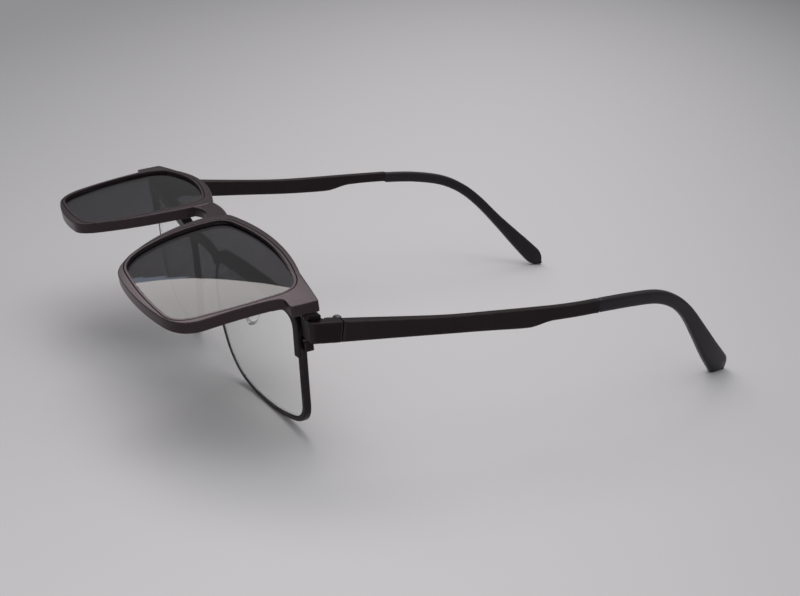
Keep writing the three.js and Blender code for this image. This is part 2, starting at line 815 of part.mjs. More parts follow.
function earShape() {
  const { u: side, w: top } = clipOuter[1];
  const earEnd = halfWidth - earInset;
  const shape = new THREE.Shape();
  shape.moveTo(side - earRoot, top + earRootBand);
  shape.lineTo(side - 2.5 * earRootBand, top + 2.5 * earRootBand);
  shape.lineTo(side - earRootBand, earLow + earFillet);
  shape.lineTo(side - earRootBand / 2, earLow + earFillet);
  shape.quadraticCurveTo(side - earRootBand / 2, earLow, side + earFillet / 2, earLow);
  shape.lineTo(earEnd - earRound, earLow);
  shape.quadraticCurveTo(earEnd, earLow, earEnd, earLow - earRound);
  shape.lineTo(earEnd, earTop + earRound);
  shape.quadraticCurveTo(earEnd, earTop, earEnd - earRound, earTop);
  shape.lineTo(side, top + earRootBand);
  return shape;
}

function clipBridgeShape() {
  const shape = new THREE.Shape();
  const highEnd = clipBridgeTop + clipBridgeArch;
  const lowEnd = clipBridgeLow + clipBridgeFlare;
  const lowReach = clipBridgeReach - clipBridgeWaist;
  shape.moveTo(-clipBridgeReach, highEnd);
  shape.quadraticCurveTo(0, clipBridgeTop - clipBridgeArch, clipBridgeReach, highEnd);
  shape.lineTo(lowReach, lowEnd);
  shape.quadraticCurveTo(0, clipBridgeLow - clipBridgeFlare, -lowReach, lowEnd);
  return shape;
}

function clipRing() {
  const grooveOut = offsetOutline(clipOpening, clipGroove);
  const shoulder = offsetOutline(clipEdge, -clipEdgeRound);
  const seat = clipFace + clipLensSeat;
  const seatBack = seat + clipLensThickness + 2 * seatGap;
  const back = clipFace + clipThickness;
  const profile = [
    [1, clipFace], [2, clipFace], [2, seat], [3, seat], [3, seatBack], [2, seatBack], [2, back], [1, back],
    [0, back - clipEdgeRound], [0, clipFace + clipEdgeRound],
  ];
  return frameRing([clipEdge, shoulder, clipOpening, grooveOut], profile, clipCentre);
}

// One half of the shade with the ear, the lug round the pin and room for the foot's cheeks
function clipHalf() {
  const half = lugWidth / 2;
  const earBack = clipFace + faceDepth(footMiddle, 0, clipCentre) + clipThickness;
  const lug = join(
    crossBar(footMiddle - half, footMiddle + half, 0, 0, cheekRadius),
    box(spot(footMiddle - half, earBack - lugSink, -cheekRadius), spot(footMiddle + half, 0, cheekRadius)),
  );
  const reach = footWidth / 2 + seatGap;
  const room = [-1, 1].map((side) => crossBar(
    footMiddle + Math.min(side * half, side * reach),
    footMiddle + Math.max(side * half, side * reach),
    0, 0, cheekRadius + seatGap,
  ));
  const bore = crossBar(footMiddle - footWidth, footMiddle + footWidth, 0, 0, pinRadius + boreGap);
  const body = join(clipRing(), clipSlab(earShape(), overlap));
  return cut(join(cut(body, ...room), lug), bore);
}

function clipFrame() {
  const half = clipHalf();
  return join(half, mirrored(half), clipSlab(clipBridgeShape(), overlap));
}

function clipLens() {
  const face = offsetOutline(clipOpening, clipLensBite);
  return lensBlank(face, face, clipFace + clipLensSeat + seatGap, clipLensThickness, clipCentre);
}

// Magnet foot: cheeks round the pin in front, a body with the magnet behind
function clipFoot() {
  const back = pinY + footLength;
  const soft = 0.3;
  const profile = new THREE.Shape();
  profile.moveTo(pinY, footBottom);
  profile.lineTo(back, footBottom);
  profile.lineTo(back, footBottom + footHeight - soft);
  profile.lineTo(back - soft, footBottom + footHeight);
  profile.lineTo(pinY, footBottom + footHeight);
  profile.absarc(pinY, pinZ, cheekRadius, Math.PI / 2, 1.5 * Math.PI);
  const low = footMiddle - footWidth / 2;
  const body = alongX(profile, low, low + footWidth);
  const slotHalf = lugWidth / 2 + seatGap;
  const slot = box(
    spot(footMiddle - slotHalf, pinY - 2 * cheekRadius, footBottom - overshoot),
    spot(footMiddle + slotHalf, pinY + cheekRadius + seatGap, footBottom + 2 * footHeight),
  );
  const bore = crossBar(low - overshoot, low + footWidth + overshoot, pinY, pinZ, pinRadius + boreGap);
  const pocket = magnetBox(footBottom - overshoot, footBottom + footMagnetHeight + boreGap, seatGap);
  return cut(body, slot, bore, pocket);
}

const footMagnet = () => magnetBox(footBottom, footBottom + footMagnetHeight, 0);
const endpieceMagnet = () => magnetBox(barHalf - endpieceMagnetHeight, barHalf, 0);
const clipPin = () =>
  crossBar(footMiddle - footWidth / 2, footMiddle + footWidth / 2, pinY, pinZ, pinRadius);

addPair(front, 'rim', rim(), blackMetal);
addPair(front, 'lens', lens(), clearGlass);
addPair(front, 'brow', brow(), blackMetal);
add(front, 'bridge', bridge(), blackMetal);
addPair(front, 'closing_block', closingBlock(), blackMetal);
addPair(front, 'closing_screw', closingScrew(), steel);
addPair(front, 'pad_arm', padArm(), steel);
addPair(front, 'nose_pad', nosePad(), padSilicone);
addPair(front, 'pad_screw', padScrew(), steel);
addPair(sides, 'endpiece', endpiece(), blackMetal);
addPair(sides, 'endpiece_magnet', endpieceMagnet(), magnetNickel);
addPair(sides, 'front_hinge_leaf', frontLeaf(), blackMetal);
addPair(sides, 'hinge_screw', hingeScrew(), steel);
addPair(sides, 'temple_hinge_leaf', templeLeaf(), blackMetal);
addPair(sides, 'temple_bar', templeBar(), blackMetal);
addPair(sides, 'temple_tip', templeTip(), tipRubber);
addPair(sides, 'clip_foot', clipFoot(), gunmetal);
addPair(sides, 'foot_magnet', footMagnet(), magnetNickel);
addPair(sides, 'clip_pin', clipPin(), steel);
add(clip, 'clip_frame', clipFrame(), gunmetal);
addPair(clip, 'clip_lens', clipLens(), tintedGlass);

// The object's origin is the middle of its footprint, on the table
const bounds = new THREE.Box3().setFromObject(glasses);
glasses.position.y = -(bounds.min.y + bounds.max.y) / 2;

export default glasses;
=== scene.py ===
import json
import math
import bpy
import bmesh
import numpy as np
from mathutils import Euler, Matrix, Vector


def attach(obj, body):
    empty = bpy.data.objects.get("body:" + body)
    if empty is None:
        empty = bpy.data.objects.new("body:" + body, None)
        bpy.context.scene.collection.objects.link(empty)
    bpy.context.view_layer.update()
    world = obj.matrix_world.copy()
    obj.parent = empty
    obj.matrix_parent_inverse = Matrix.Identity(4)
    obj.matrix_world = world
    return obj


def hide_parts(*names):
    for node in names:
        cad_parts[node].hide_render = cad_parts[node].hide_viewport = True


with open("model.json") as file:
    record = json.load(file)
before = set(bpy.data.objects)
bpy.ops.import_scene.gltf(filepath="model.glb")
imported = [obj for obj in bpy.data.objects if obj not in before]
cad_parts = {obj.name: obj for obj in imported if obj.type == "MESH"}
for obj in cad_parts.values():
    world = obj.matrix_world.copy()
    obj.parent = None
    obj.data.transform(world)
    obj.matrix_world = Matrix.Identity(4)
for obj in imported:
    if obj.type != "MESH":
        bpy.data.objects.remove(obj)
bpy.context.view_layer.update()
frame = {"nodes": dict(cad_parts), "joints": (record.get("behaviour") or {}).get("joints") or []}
scene = bpy.context.scene
joints = {joint["name"]: joint for joint in frame["joints"]}
hingePoint = Vector(joints["temple_left_fold"]["pos_m"])
pinPoint = Vector(joints["clip_flip"]["pos_m"])
sides = (("left", 1), ("right", -1))
millimetre = 0.001
print("frame loaded:", len(frame["nodes"]), "nodes")

# the three working planes, drawn in millimetres: the front, the arms and the flipped-up shade
layout = dict(
    halfWidth=69, frontTilt=8.5, frontAhead=10.95, frontHeight=20.1, sideSlope=-2.5, flipAngle=86.5,
    acrossCurve=0.0024, uprightCurve=0.005)


def plane(y, z, turn):
    place = Matrix.Translation((0, y, z)) @ Matrix.Rotation(math.radians(turn), 4, "X")
    return place @ Matrix.Scale(millimetre, 4)


frontPlane = plane(hingePoint.y - layout["frontAhead"] * millimetre,
                   layout["frontHeight"] * millimetre, layout["frontTilt"])
sidePlane = plane(hingePoint.y, hingePoint.z, layout["sideSlope"])
clipPlane = plane(pinPoint.y, pinPoint.z, layout["frontTilt"] - layout["flipAngle"])


def mirror(side):
    return Matrix.Diagonal((side, 1, 1, 1))


def addObject(name, data):
    obj = bpy.data.objects.new(name, data)
    scene.collection.objects.link(obj)
    return obj


# camera where the photograph was taken from
cameraSet = dict(
    target=(0.01697, hingePoint.y + 0.04311, 0.01967), azimuth=61.910, elevation=19.687, roll=4.471,
    distance=0.4062, lens=60.74, sensor=36, nearest=0.01)


def placeCamera(s):
    azimuth, elevation, roll = (math.radians(s[key]) for key in ("azimuth", "elevation", "roll"))
    back = Vector((math.sin(azimuth) * math.cos(elevation), -math.cos(azimuth) * math.cos(elevation),
                   math.sin(elevation)))
    level = Vector((math.cos(azimuth), math.sin(azimuth), 0))
    upright = back.cross(level)
    right = level * math.cos(roll) + upright * math.sin(roll)
    up = upright * math.cos(roll) - level * math.sin(roll)
    data = bpy.data.cameras.new("photoCamera")
    data.lens = s["lens"]
    data.sensor_width = s["sensor"]
    data.sensor_fit = "HORIZONTAL"
    data.clip_start = s["nearest"]
    camera = addObject("photoCamera", data)
    turn = Matrix((right, up, back)).transposed().to_4x4()
    camera.matrix_world = Matrix.Translation(Vector(s["target"]) + back * s["distance"]) @ turn
    scene.camera = camera


placeCamera(cameraSet)
print("camera placed")


# node helpers: a socket takes a link, a colour or a plain value
def feed(tree, socket, value):
    if isinstance(value, bpy.types.NodeSocket):
        tree.links.new(value, socket)
    else:
        socket.default_value = (*value, 1) if isinstance(value, tuple) else value


# sets a node's inputs by name, with an underscore for each space
def fill(tree, node, **values):
    for label, value in values.items():
        feed(tree, node.inputs[label.replace("_", " ")], value)
    return node


def addNode(tree, kind, setting=None, **values):
    node = tree.nodes.new(kind)
    if setting:
        setattr(node, *setting)
    return fill(tree, node, **values)


def addMath(tree, operation, *values, clamp=False):
    node = addNode(tree, "ShaderNodeMath", ("operation", operation))
    node.use_clamp = clamp
    for socket, value in zip(node.inputs, values):
        feed(tree, socket, value)
    return node.outputs[0]


def addNoise(tree, vector, scale, detail=3.0, roughness=0.5):
    noise = addNode(tree, "ShaderNodeTexNoise", Vector=vector, Scale=scale, Detail=detail,
                    Roughness=roughness)
    return noise.outputs["Fac"]


def mixColor(tree, mask, first, second):
    node = addNode(tree, "ShaderNodeMix", ("data_type", "RGBA"), Factor=mask)
    feed(tree, node.inputs[6], first)
    feed(tree, node.inputs[7], second)
    return node.outputs[2]


def mixShaders(tree, share, first, second, output):
    mix = tree.nodes.new("ShaderNodeMixShader")
    for socket, source in zip(mix.inputs, (share, first, second)):
        tree.links.new(source, socket)
    tree.links.new(mix.outputs["Shader"], tree.nodes[output].inputs["Surface"])


# a node group: an input is given by its starting number or by its kind of socket
def newGroup(name, treeKind, inputs, outputs, outputKind):
    group = bpy.data.node_groups.new(name, treeKind)
    for label, value in inputs.items():
        kind = value if isinstance(value, str) else "Int" if isinstance(value, int) else "Float"
        socket = group.interface.new_socket(label, in_out="INPUT", socket_type="NodeSocket" + kind)
        if not isinstance(value, str):
            socket.default_value = value
    for label in outputs:
        group.interface.new_socket(label, in_out="OUTPUT", socket_type="NodeSocket" + outputKind)
    return group, group.nodes.new("NodeGroupInput").outputs, group.nodes.new("NodeGroupOutput")


def shaderGroup(name, values, outputs):
    return newGroup(name, "ShaderNodeTree", {"Vector": "Vector", **values}, outputs, "Float")


# shader groups
textureSet = dict(
    cloudDetail=4.0, grainDetail=2.0, brushSquash=(0.02, 1.0, 1.0), brushRoughness=0.6, rubAndHighlightLeast=0.3,
    dustPatch=90.0, dustFrom=0.56, dustTone=(0.3, 0.29, 0.28), bumpStrength=0.35)


# fine sprayed texture of a satin coat: a cloudy tone, a grain height and an uneven gloss
def coatGroup(s):
    group, get, end = shaderGroup(
        "satinCoat", {"Grain Scale": 9000.0, "Cloud Scale": 120.0, "Roughness": 0.4, "Unevenness": 0.1},
        ("Cloud", "Height", "Roughness"))
    cloud = addNoise(group, get["Vector"], get["Cloud Scale"], s["cloudDetail"])
    grain = addNoise(group, get["Vector"], get["Grain Scale"], s["grainDetail"])
    swing = addMath(group, "MULTIPLY", addMath(group, "SUBTRACT", cloud, 0.5), get["Unevenness"])
    gloss = addMath(group, "ADD", get["Roughness"], swing, clamp=True)
    fill(group, end, Cloud=cloud, Height=grain, Roughness=gloss)
    return group


# long brush lines that run across the piece
def brushGroup(s):
    group, get, end = shaderGroup("brushLines", {"Line Scale": 3500.0}, ("Lines",))
    squash = addNode(group, "ShaderNodeMapping", Vector=get["Vector"], Scale=Vector(s["brushSquash"]))
    lines = addNoise(group, squash.outputs["Vector"], get["Line Scale"], roughness=s["brushRoughness"])
    fill(group, end, Lines=lines)
    return group


# rubbed edges, lightened for wear and as a painted highlight along the edges, broken up so that the line
# isn't even
def rubAndHighlightGroup(s):
    group, get, end = shaderGroup("edgeRubAndHighlight", {"Edge": 0.0, "Amount": 0.5, "Patch Scale": 500.0}, ("Mask",))
    patch = addNoise(group, get["Vector"], get["Patch Scale"])
    broken = addMath(group, "MULTIPLY", get["Edge"], addMath(group, "ADD", patch, s["rubAndHighlightLeast"]))
    fill(group, end, Mask=addMath(group, "MULTIPLY", broken, get["Amount"], clamp=True))
    return group


# a few pale specks of dust
def dustGroup(s):
    group, get, end = shaderGroup("dustSpecks", {"Speck Scale": 400.0, "Speck Size": 0.05}, ("Mask",))
    cells = addNode(group, "ShaderNodeTexVoronoi", Scale=get["Speck Scale"], Vector=get["Vector"])
    near = addMath(group, "LESS_THAN", cells.outputs["Distance"], get["Speck Size"])
    patch = addNoise(group, get["Vector"], s["dustPatch"])
    sparse = addMath(group, "GREATER_THAN", patch, s["dustFrom"])
    fill(group, end, Mask=addMath(group, "MULTIPLY", near, sparse))
    return group


satinCoat = coatGroup(textureSet)
brushLines = brushGroup(textureSet)
edgeRubAndHighlight = rubAndHighlightGroup(textureSet)
dustSpecks = dustGroup(textureSet)
print("shader groups built")


# materials
def newMaterial(name):
    material = bpy.data.materials.new(name)
    material.use_nodes = True
    tree = material.node_tree
    coordinates = tree.nodes.new("ShaderNodeTexCoord").outputs["Object"]
    return material, tree, tree.nodes["Principled BSDF"], coordinates


def useGroup(tree, group, coordinates, **values):
    return addNode(tree, "ShaderNodeGroup", ("node_tree", group), Vector=coordinates, **values)


# a coated metal: a cloudy base, rubbed edges lightened for wear and as a painted highlight, dust and a fine
# grain, with brush lines where asked
def coatedMetal(name, s):
    material, tree, shader, coordinates = newMaterial(name)
    coat = useGroup(tree, satinCoat, coordinates, Grain_Scale=s["grain"], Roughness=s["roughness"],
                    Unevenness=s["uneven"])
    edge = addNode(tree, "ShaderNodeAttribute", ("attribute_name", "edge"))
    rubAndHighlight = useGroup(tree, edgeRubAndHighlight, coordinates, Edge=edge.outputs["Fac"], Amount=s["rubAndHighlight"])
    dust = useGroup(tree, dustSpecks, coordinates, Speck_Size=s["dust"])
    tone = mixColor(tree, coat.outputs["Cloud"], s["dark"], s["light"])
    height = coat.outputs["Height"]
    if s["brush"] > 0:
        lines = useGroup(tree, brushLines, coordinates).outputs["Lines"]
        tone = mixColor(tree, addMath(tree, "MULTIPLY", lines, s["brush"]), tone, s["light"])
        height = addMath(tree, "ADD", height, lines)
    # the edge colour is partly wear and partly a painted highlight along the edges
    tone = mixColor(tree, rubAndHighlight.outputs["Mask"], tone, s["bare"])
    tone = mixColor(tree, dust.outputs["Mask"], tone, textureSet["dustTone"])
    bump = addNode(tree, "ShaderNodeBump", Distance=s["bump"], Strength=textureSet["bumpStrength"],
                   Height=height)
    fill(tree, shader, Base_Color=tone, Roughness=coat.outputs["Roughness"], Metallic=s["metallic"],
         Specular_IOR_Level=s["shine"], Specular_Tint=s["gleam"], Normal=bump.outputs["Normal"])
    return material


plainMetal = dict(
    metallic=1.0, uneven=0.1, grain=12000, bump=0.000006, rubAndHighlight=0.3, dust=0.0, brush=0.3, shine=0.5,
    gleam=(1, 1, 1))
blackMetal = coatedMetal("satinBlack", dict(
    plainMetal, dark=(0.0145, 0.0108, 0.0125), light=(0.023, 0.0178, 0.02), bare=(0.11, 0.09, 0.09),
    metallic=0.85, roughness=0.42, uneven=0.12, grain=9000, bump=0.00001, rubAndHighlight=0.35, dust=0.03, brush=0.0,
    shine=0.4))
clipMetal = coatedMetal("clipGunmetal", dict(
    dark=(0.0135, 0.008, 0.0102), light=(0.021, 0.0138, 0.0168), bare=(0.14, 0.115, 0.12), metallic=0.2,
    roughness=0.28, uneven=0.05, grain=8000, bump=0.000008, rubAndHighlight=0.25, dust=0.02, brush=0.25, shine=0.36,
    gleam=(1, 0.82, 0.9)))
steel = coatedMetal("turnedSteel", dict(
    plainMetal, dark=(0.33, 0.33, 0.34), light=(0.5, 0.5, 0.51), bare=(0.7, 0.7, 0.7), roughness=0.28))
darkSteel = coatedMetal("darkSteel", dict(
    plainMetal, dark=(0.03, 0.029, 0.031), light=(0.05, 0.048, 0.05), bare=(0.2, 0.19, 0.19),
    roughness=0.35))
nickel = coatedMetal("magnetNickel", dict(
    plainMetal, dark=(0.5, 0.5, 0.51), light=(0.64, 0.64, 0.65), bare=(0.75, 0.75, 0.75), roughness=0.2,
    uneven=0.08, grain=6000, bump=0.000004, rubAndHighlight=0.2, brush=0.0))
tipRubber = coatedMetal("tipRubber", dict(
    dark=(0.009, 0.008, 0.01), light=(0.0145, 0.013, 0.0155), bare=(0.05, 0.047, 0.05), metallic=0.0,
    roughness=0.38, uneven=0.14, grain=7000, bump=0.000014, rubAndHighlight=0.3, dust=0.04, brush=0.0, shine=0.3,
    gleam=(1, 0.92, 1)))


# glass lets the lamps through, so that a lens throws only a faint shadow
def glass(name, s):
    material, tree, shader, coordinates = newMaterial(name)
    haze = addNoise(tree, coordinates, s["smearScale"], s["smearDetail"])
    dust = useGroup(tree, dustSpecks, coordinates, Speck_Scale=s["speckScale"], Speck_Size=s["dust"])
    smears = addMath(tree, "MULTIPLY", haze, s["smear"])
    tone = mixColor(tree, dust.outputs["Mask"], mixColor(tree, haze, s["tint"], s["tintLight"]), s["speck"])
    roughness = addMath(tree, "ADD", smears, s["roughness"], clamp=True)
    fill(tree, shader, Base_Color=tone, Roughness=roughness, Transmission_Weight=1.0, IOR=s["index"],
         Coat_Weight=s["coat"], Coat_Roughness=s["coatRoughness"])
    path = tree.nodes.new("ShaderNodeLightPath")
    clear = addNode(tree, "ShaderNodeBsdfTransparent", Color=s["shadow"])
    mixShaders(tree, path.outputs["Is Shadow Ray"], shader.outputs["BSDF"], clear.outputs["BSDF"],
               "Material Output")
    return material


plainGlass = dict(
    speck=(0.8, 0.8, 0.8), index=1.5, coat=0.0, coatRoughness=0.02, speckScale=300, smearDetail=4.0)
clearLens = glass("clearLens", dict(
    plainGlass, tint=(0.985, 0.995, 0.99), tintLight=(0.995, 1.0, 0.998), roughness=0.0, smear=0.01,
    smearScale=60, dust=0.015, shadow=(0.94, 0.95, 0.945)))
tintedLens = glass("tintedLens", dict(
    plainGlass, tint=(0.064, 0.061, 0.07), tintLight=(0.072, 0.069, 0.078), roughness=0.008, smear=0.006,
    smearScale=70, dust=0.02, shadow=(0.1, 0.1, 0.11), speck=(0.4, 0.39, 0.38)))
padSilicone = glass("padSilicone", dict(
    plainGlass, tint=(0.93, 0.95, 0.945), tintLight=(0.97, 0.98, 0.975), roughness=0.05, smear=0.08,
    smearScale=300, dust=0.02, shadow=(0.6, 0.61, 0.6), coat=1.0, speckScale=600))
print("materials built")


# mesh helpers
def finishPiece(obj, name, body, nodes, material, sharp=40):
    mesh = obj.data
    obj.name = mesh.name = name
    mesh.materials.clear()
    mesh.materials.append(material)
    mesh.shade_smooth()
    mesh.set_sharp_from_angle(angle=math.radians(sharp))
    markEdges(mesh)
    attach(obj, body)
    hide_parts(*nodes)


def readRows(items, field, count, width, kind):
    values = np.zeros(count * width, kind)
    items.foreach_get(field, values)
    return values.reshape(-1, width)


# how strongly the surface turns outwards at each point, kept as the attribute that the edge wear and
# painted edge highlight read
def markEdges(mesh, radius=0.0004, shortest=1e-14):
    count = len(mesh.vertices)
    spots = readRows(mesh.vertices, "co", count, 3, float)
    normals = readRows(mesh.vertex_normals, "vector", count, 3, np.float32).astype(float)
    ends = readRows(mesh.edges, "vertices", len(mesh.edges), 2, np.int32)
    step = spots[ends[:, 1]] - spots[ends[:, 0]]
    turn = normals[ends[:, 1]] - normals[ends[:, 0]]
    bend = (step * turn).sum(1) / np.maximum((step * step).sum(1), shortest)
    strongest = np.zeros(count)
    np.maximum.at(strongest, ends[:, 0], bend)
    np.maximum.at(strongest, ends[:, 1], bend)
    layer = mesh.attributes.new("edge", "FLOAT", "POINT")
    layer.data.foreach_set("value", np.clip(strongest * radius, 0, 1).astype(np.float32))


def newObject(name, points, faces, place, weld=1e-7):
    mesh = bpy.data.meshes.new(name)
    mesh.from_pydata([place @ Vector(point) for point in points], [], faces)
    shape = bmesh.new()
    shape.from_mesh(mesh)
    bmesh.ops.remove_doubles(shape, verts=shape.verts, dist=weld)
    bmesh.ops.recalc_face_normals(shape, faces=shape.faces)
    shape.to_mesh(mesh)
    shape.free()
    return addObject(name, mesh)


# a skin through rings of equal count, closed on itself or capped at both ends
def loft(rings, endless=False):
    count = len(rings[0])
    points = [point for ring in rings for point in ring]
    faces = []
    for i in range(len(rings) if endless else len(rings) - 1):
        here, there = i * count, (i + 1) % len(rings) * count
        for k in range(count):
            nextOne = (k + 1) % count
            faces.append((here + k, here + nextOne, there + nextOne, there + k))
    if not endless:
        faces.append(tuple(range(count)))
        faces.append(tuple(range(len(points) - count, len(points))))
    return points, faces


def evaluated(obj):
    graph = bpy.context.evaluated_depsgraph_get()
    mesh = bpy.data.meshes.new_from_object(obj.evaluated_get(graph))
    obj.modifiers.clear()
    obj.data = mesh
    return obj


# fuses what overlaps into one skin and rounds its edges
def fuse(obj, voxel, rounds, factor=0.5):
    remesh = obj.modifiers.new("fuse", "REMESH")
    remesh.mode = "VOXEL"
    remesh.voxel_size = voxel
    soften = obj.modifiers.new("soften", "SMOOTH")
    soften.factor = factor
    soften.iterations = rounds
    return evaluated(obj)


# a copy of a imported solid, or its hull, which fills what is cut into it
def nodeCopy(node, filled, weld=1e-6):
    mesh = frame["nodes"][node].data.copy()
    shape = bmesh.new()
    shape.from_mesh(mesh)
    if filled:
        bmesh.ops.delete(shape, geom=shape.edges[:], context="EDGES_FACES")
    bmesh.ops.remove_doubles(shape, verts=shape.verts, dist=weld)
    if filled:
        hull = bmesh.ops.convex_hull(shape, input=shape.verts)
        bmesh.ops.delete(shape, geom=hull["geom_interior"], context="VERTS")
    shape.to_mesh(mesh)
    shape.free()
    return addObject(node + "Skin", mesh)


# a new piece from its skin, kept above the table
def addPiece(name, skin, place, body, node, material):
    obj = newObject(name, *skin, place)
    for vertex in obj.data.vertices:
        vertex.co.z = max(vertex.co.z, 0.0)
    finishPiece(obj, name, body, [node], material)


# outlines
def smoothShare(value, low, high):
    t = min(max((value - low) / (high - low), 0), 1)
    return t * t * (3 - 2 * t)


def curvePoints(start, peak, stop, steps):
    shares = [k / steps for k in range(steps)]
    return [start * (1 - t) ** 2 + peak * (2 * t * (1 - t)) + stop * t ** 2 for t in shares]


# a smooth run through the inner spots of a list; its first and last only steer it
def smoothRun(spots, perSpan):
    points = []
    for i in range(len(spots) - 3):
        a, b, c, d = spots[i:i + 4]
        for k in range(perSpan):
            t = k / perSpan
            points.append(0.5 * (2 * b + (c - a) * t + (2 * a - 5 * b + 4 * c - d) * t ** 2
                                 + (3 * b - a - 3 * c + d) * t ** 3))
    return points


def splinePoints(stations, perSpan=24):
    spots = [Vector(station) for station in stations]
    return smoothRun([spots[0], *spots, spots[-1]], perSpan) + [spots[-1]]


def reachAlong(points):
    return np.concatenate([[0], np.cumsum([(b - a).length for a, b in zip(points, points[1:])])])


def spotAt(points, reach, at):
    return Vector([np.interp(at, reach, [point[i] for point in points]) for i in (0, 1)])


# even spots along a run of points, without its ends
def spread(points, count):
    reach = reachAlong(points)
    return [spotAt(points, reach, reach[-1] * (k + 1) / (count + 1)) for k in range(count)]


# spots round a rectangle of half size one; a lower power makes it squarer
def squareRing(count, power):
    angles = [2 * math.pi * (i + 0.5) / count for i in range(count)]
    return [[math.copysign(abs(value) ** power, value) for value in (math.cos(angle), math.sin(angle))]
            for angle in angles]


def crossing(a, b, c, d):
    along, other = b - a, d - c
    return a + along * ((c - a).cross(other) / along.cross(other))


# points round a four-sided outline with bowed sides and rounded corners: (across, up, round, bow) each
def outlinePoints(corners, steps):
    spots = [Vector(corner[:2]) for corner in corners]
    middle = sum(spots, Vector((0, 0))) / len(spots)
    runs = []
    for i, (_, _, rounding, bow) in enumerate(corners):
        following = (i + 1) % len(corners)
        along = (spots[following] - spots[i]).normalized()
        start = spots[i] + along * rounding
        stop = spots[following] - along * corners[following][2]
        halfway = (start + stop) / 2
        out = Vector((along.y, -along.x))
        if out.dot(halfway - middle) < 0:
            out.negate()
        runs.append((start, halfway + out * 2 * bow, stop))
    points = []
    for i, (start, peak, stop) in enumerate(runs):
        nextStart, nextPeak, _ = runs[(i + 1) % len(runs)]
        points += curvePoints(start, peak, stop, steps)
        points += curvePoints(stop, crossing(peak, stop, nextStart, nextPeak), nextStart, steps)
    return points


def offsetOutline(points, distance):
    count = len(points)
    area = sum(points[i].cross(points[(i + 1) % count]) for i in range(count))
    moved = []
    for i, point in enumerate(points):
        along = (points[(i + 1) % count] - points[i - 1]).normalized()
        moved.append(point + Vector((along.y, -along.x)) * math.copysign(distance, area * distance))
    return moved


def faceDepth(u, v, middle):
    return (layout["acrossCurve"] * u * u + layout["uprightCurve"] * (v - middle) ** 2) / 2


def onFace(point, depth, middle):
    return Vector((point.x, depth + faceDepth(point.x, point.y, middle), point.y))


# a quarter round between an outline's wall and a face, from wall to face: inward is how the outline moves.
# A point beyond each end keeps the edge wear and its painted highlight off the flats
def quarterRound(outline, inward, depth, into, radius, toFace, steps=4, spare=0.12):
    arc = [(outline, 0, depth + into * (radius + spare))]
    for k in range(steps + 1):
        angle = math.pi / 2 * k / steps
        arc.append((outline, inward * radius * (1 - math.cos(angle)),
                    depth + into * radius * (1 - math.sin(angle))))
    arc.append((outline, inward * (radius + spare), depth))
    return arc if toFace else arc[::-1]


# a closed section whose corners (x, y, radius) are rounded, with a spare point beyond each round;
# most and spareMost are the largest shares of a side that a round and its spare point take
def roundedSection(corners, steps=4, spare=0.12, most=0.3, spareMost=0.15):
    section = []
    for i, (x, y, radius) in enumerate(corners):
        here = Vector((x, y))
        if radius == 0:
            section.append(here)
            continue
        before = Vector(corners[i - 1][:2]) - here
        after = Vector(corners[(i + 1) % len(corners)][:2]) - here
        start, stop = (here + way.normalized() * min(radius, most * way.length) for way in (before, after))
        section.append(start + before.normalized() * min(spare, spareMost * before.length))
        section += curvePoints(start, here, stop, steps) + [stop]
        section.append(stop + after.normalized() * min(spare, spareMost * after.length))
    return section


# a ring's section between its outer (0) and inner (1) outline, with what is cut into its face and its wall
def ringProfile(front, back, s, faceCut, wallCut):
    steps = s["innerSteps"]
    profile = quarterRound(0, -1, front, 1, s["edgeRound"], True) + faceCut
    profile += quarterRound(1, 1, front, 1, s["innerRound"], False, steps, s["innerSpare"]) + wallCut
    profile += quarterRound(1, 1, back, -1, s["innerRound"], True, steps)
    return profile + quarterRound(0, -1, back, -1, s["edgeRound"], False)


def ringSkin(outlines, profile, middle):
    moved = [offsetOutline(outlines[which], offset) if offset else outlines[which]
             for which, offset, _ in profile]
    rings = []
    for i in range(len(outlines[0])):
        rings.append([onFace(moved[k][i], depth, middle) for k, (_, _, depth) in enumerate(profile)])
    return loft(rings, True)


# domed lens blank whose edge can run out to a bite line
def lensSkin(faceEdge, biteEdge, depth, thickness, middle, shares=(0.2, 0.4, 0.6, 0.8, 0.95, 1.0)):
    centre = sum(faceEdge, Vector((0, 0))) / len(faceEdge)
    count = len(faceEdge)
    rows = [[onFace(centre.lerp(point, share), depth, middle) for point in faceEdge] for share in shares]
    rows.append([onFace(point, depth + thickness / 2, middle) for point in biteEdge])
    rows += [[onFace(centre.lerp(point, share), depth + thickness, middle) for point in faceEdge]
             for share in reversed(shares)]
    points, faces = loft(rows)
    faces = faces[:-2]
    for at, row in ((depth, 0), (depth + thickness, len(rows) - 1)):
        points.append(onFace(centre, at, middle))
        faces += [(len(points) - 1, row * count + k, row * count + (k + 1) % count) for k in range(count)]
    return points, faces


# eyeglass front
rimSet = dict(
    corners=((8.4, 16.9, 8.5, 0.9), (61.6, 16, 5.5, 0.5), (60.2, -18.8, 7.5, 1.7), (13.4, -19.5, 10, 1.2)),
    steps=20, width=1.3, depth=1.9, groove=0.7, grooveHalf=0.6, edgeRound=0.4, innerRound=0.15,
    innerSteps=2, innerSpare=0.12)
browSet = dict(
    front=1.1, cap=1.4, legCap=0.6, gap=0.02, edgeRound=0.35, softRound=0.15, stepHeight=4.4, runs=3.5)
bridgeSet = dict(height=2.6, depth=1.8, arch=1.6, reach=10.9, steps=40, around=20, squareness=0.45)
lensSet = dict(thickness=1.7, gap=0.3, bite=0.35)
rimEdge = outlinePoints(rimSet["corners"], rimSet["steps"])
rimInside = offsetOutline(rimEdge, -rimSet["width"])
browStart = len(rimEdge) - rimSet["steps"] // 2


def rimSkin(s):
    half = s["depth"] / 2
    groove = [(1, 0, -s["grooveHalf"]), (1, s["groove"], 0), (1, 0, s["grooveHalf"])]
    return ringSkin((rimEdge, rimInside), ringProfile(-half, half, s, [], groove), 0)


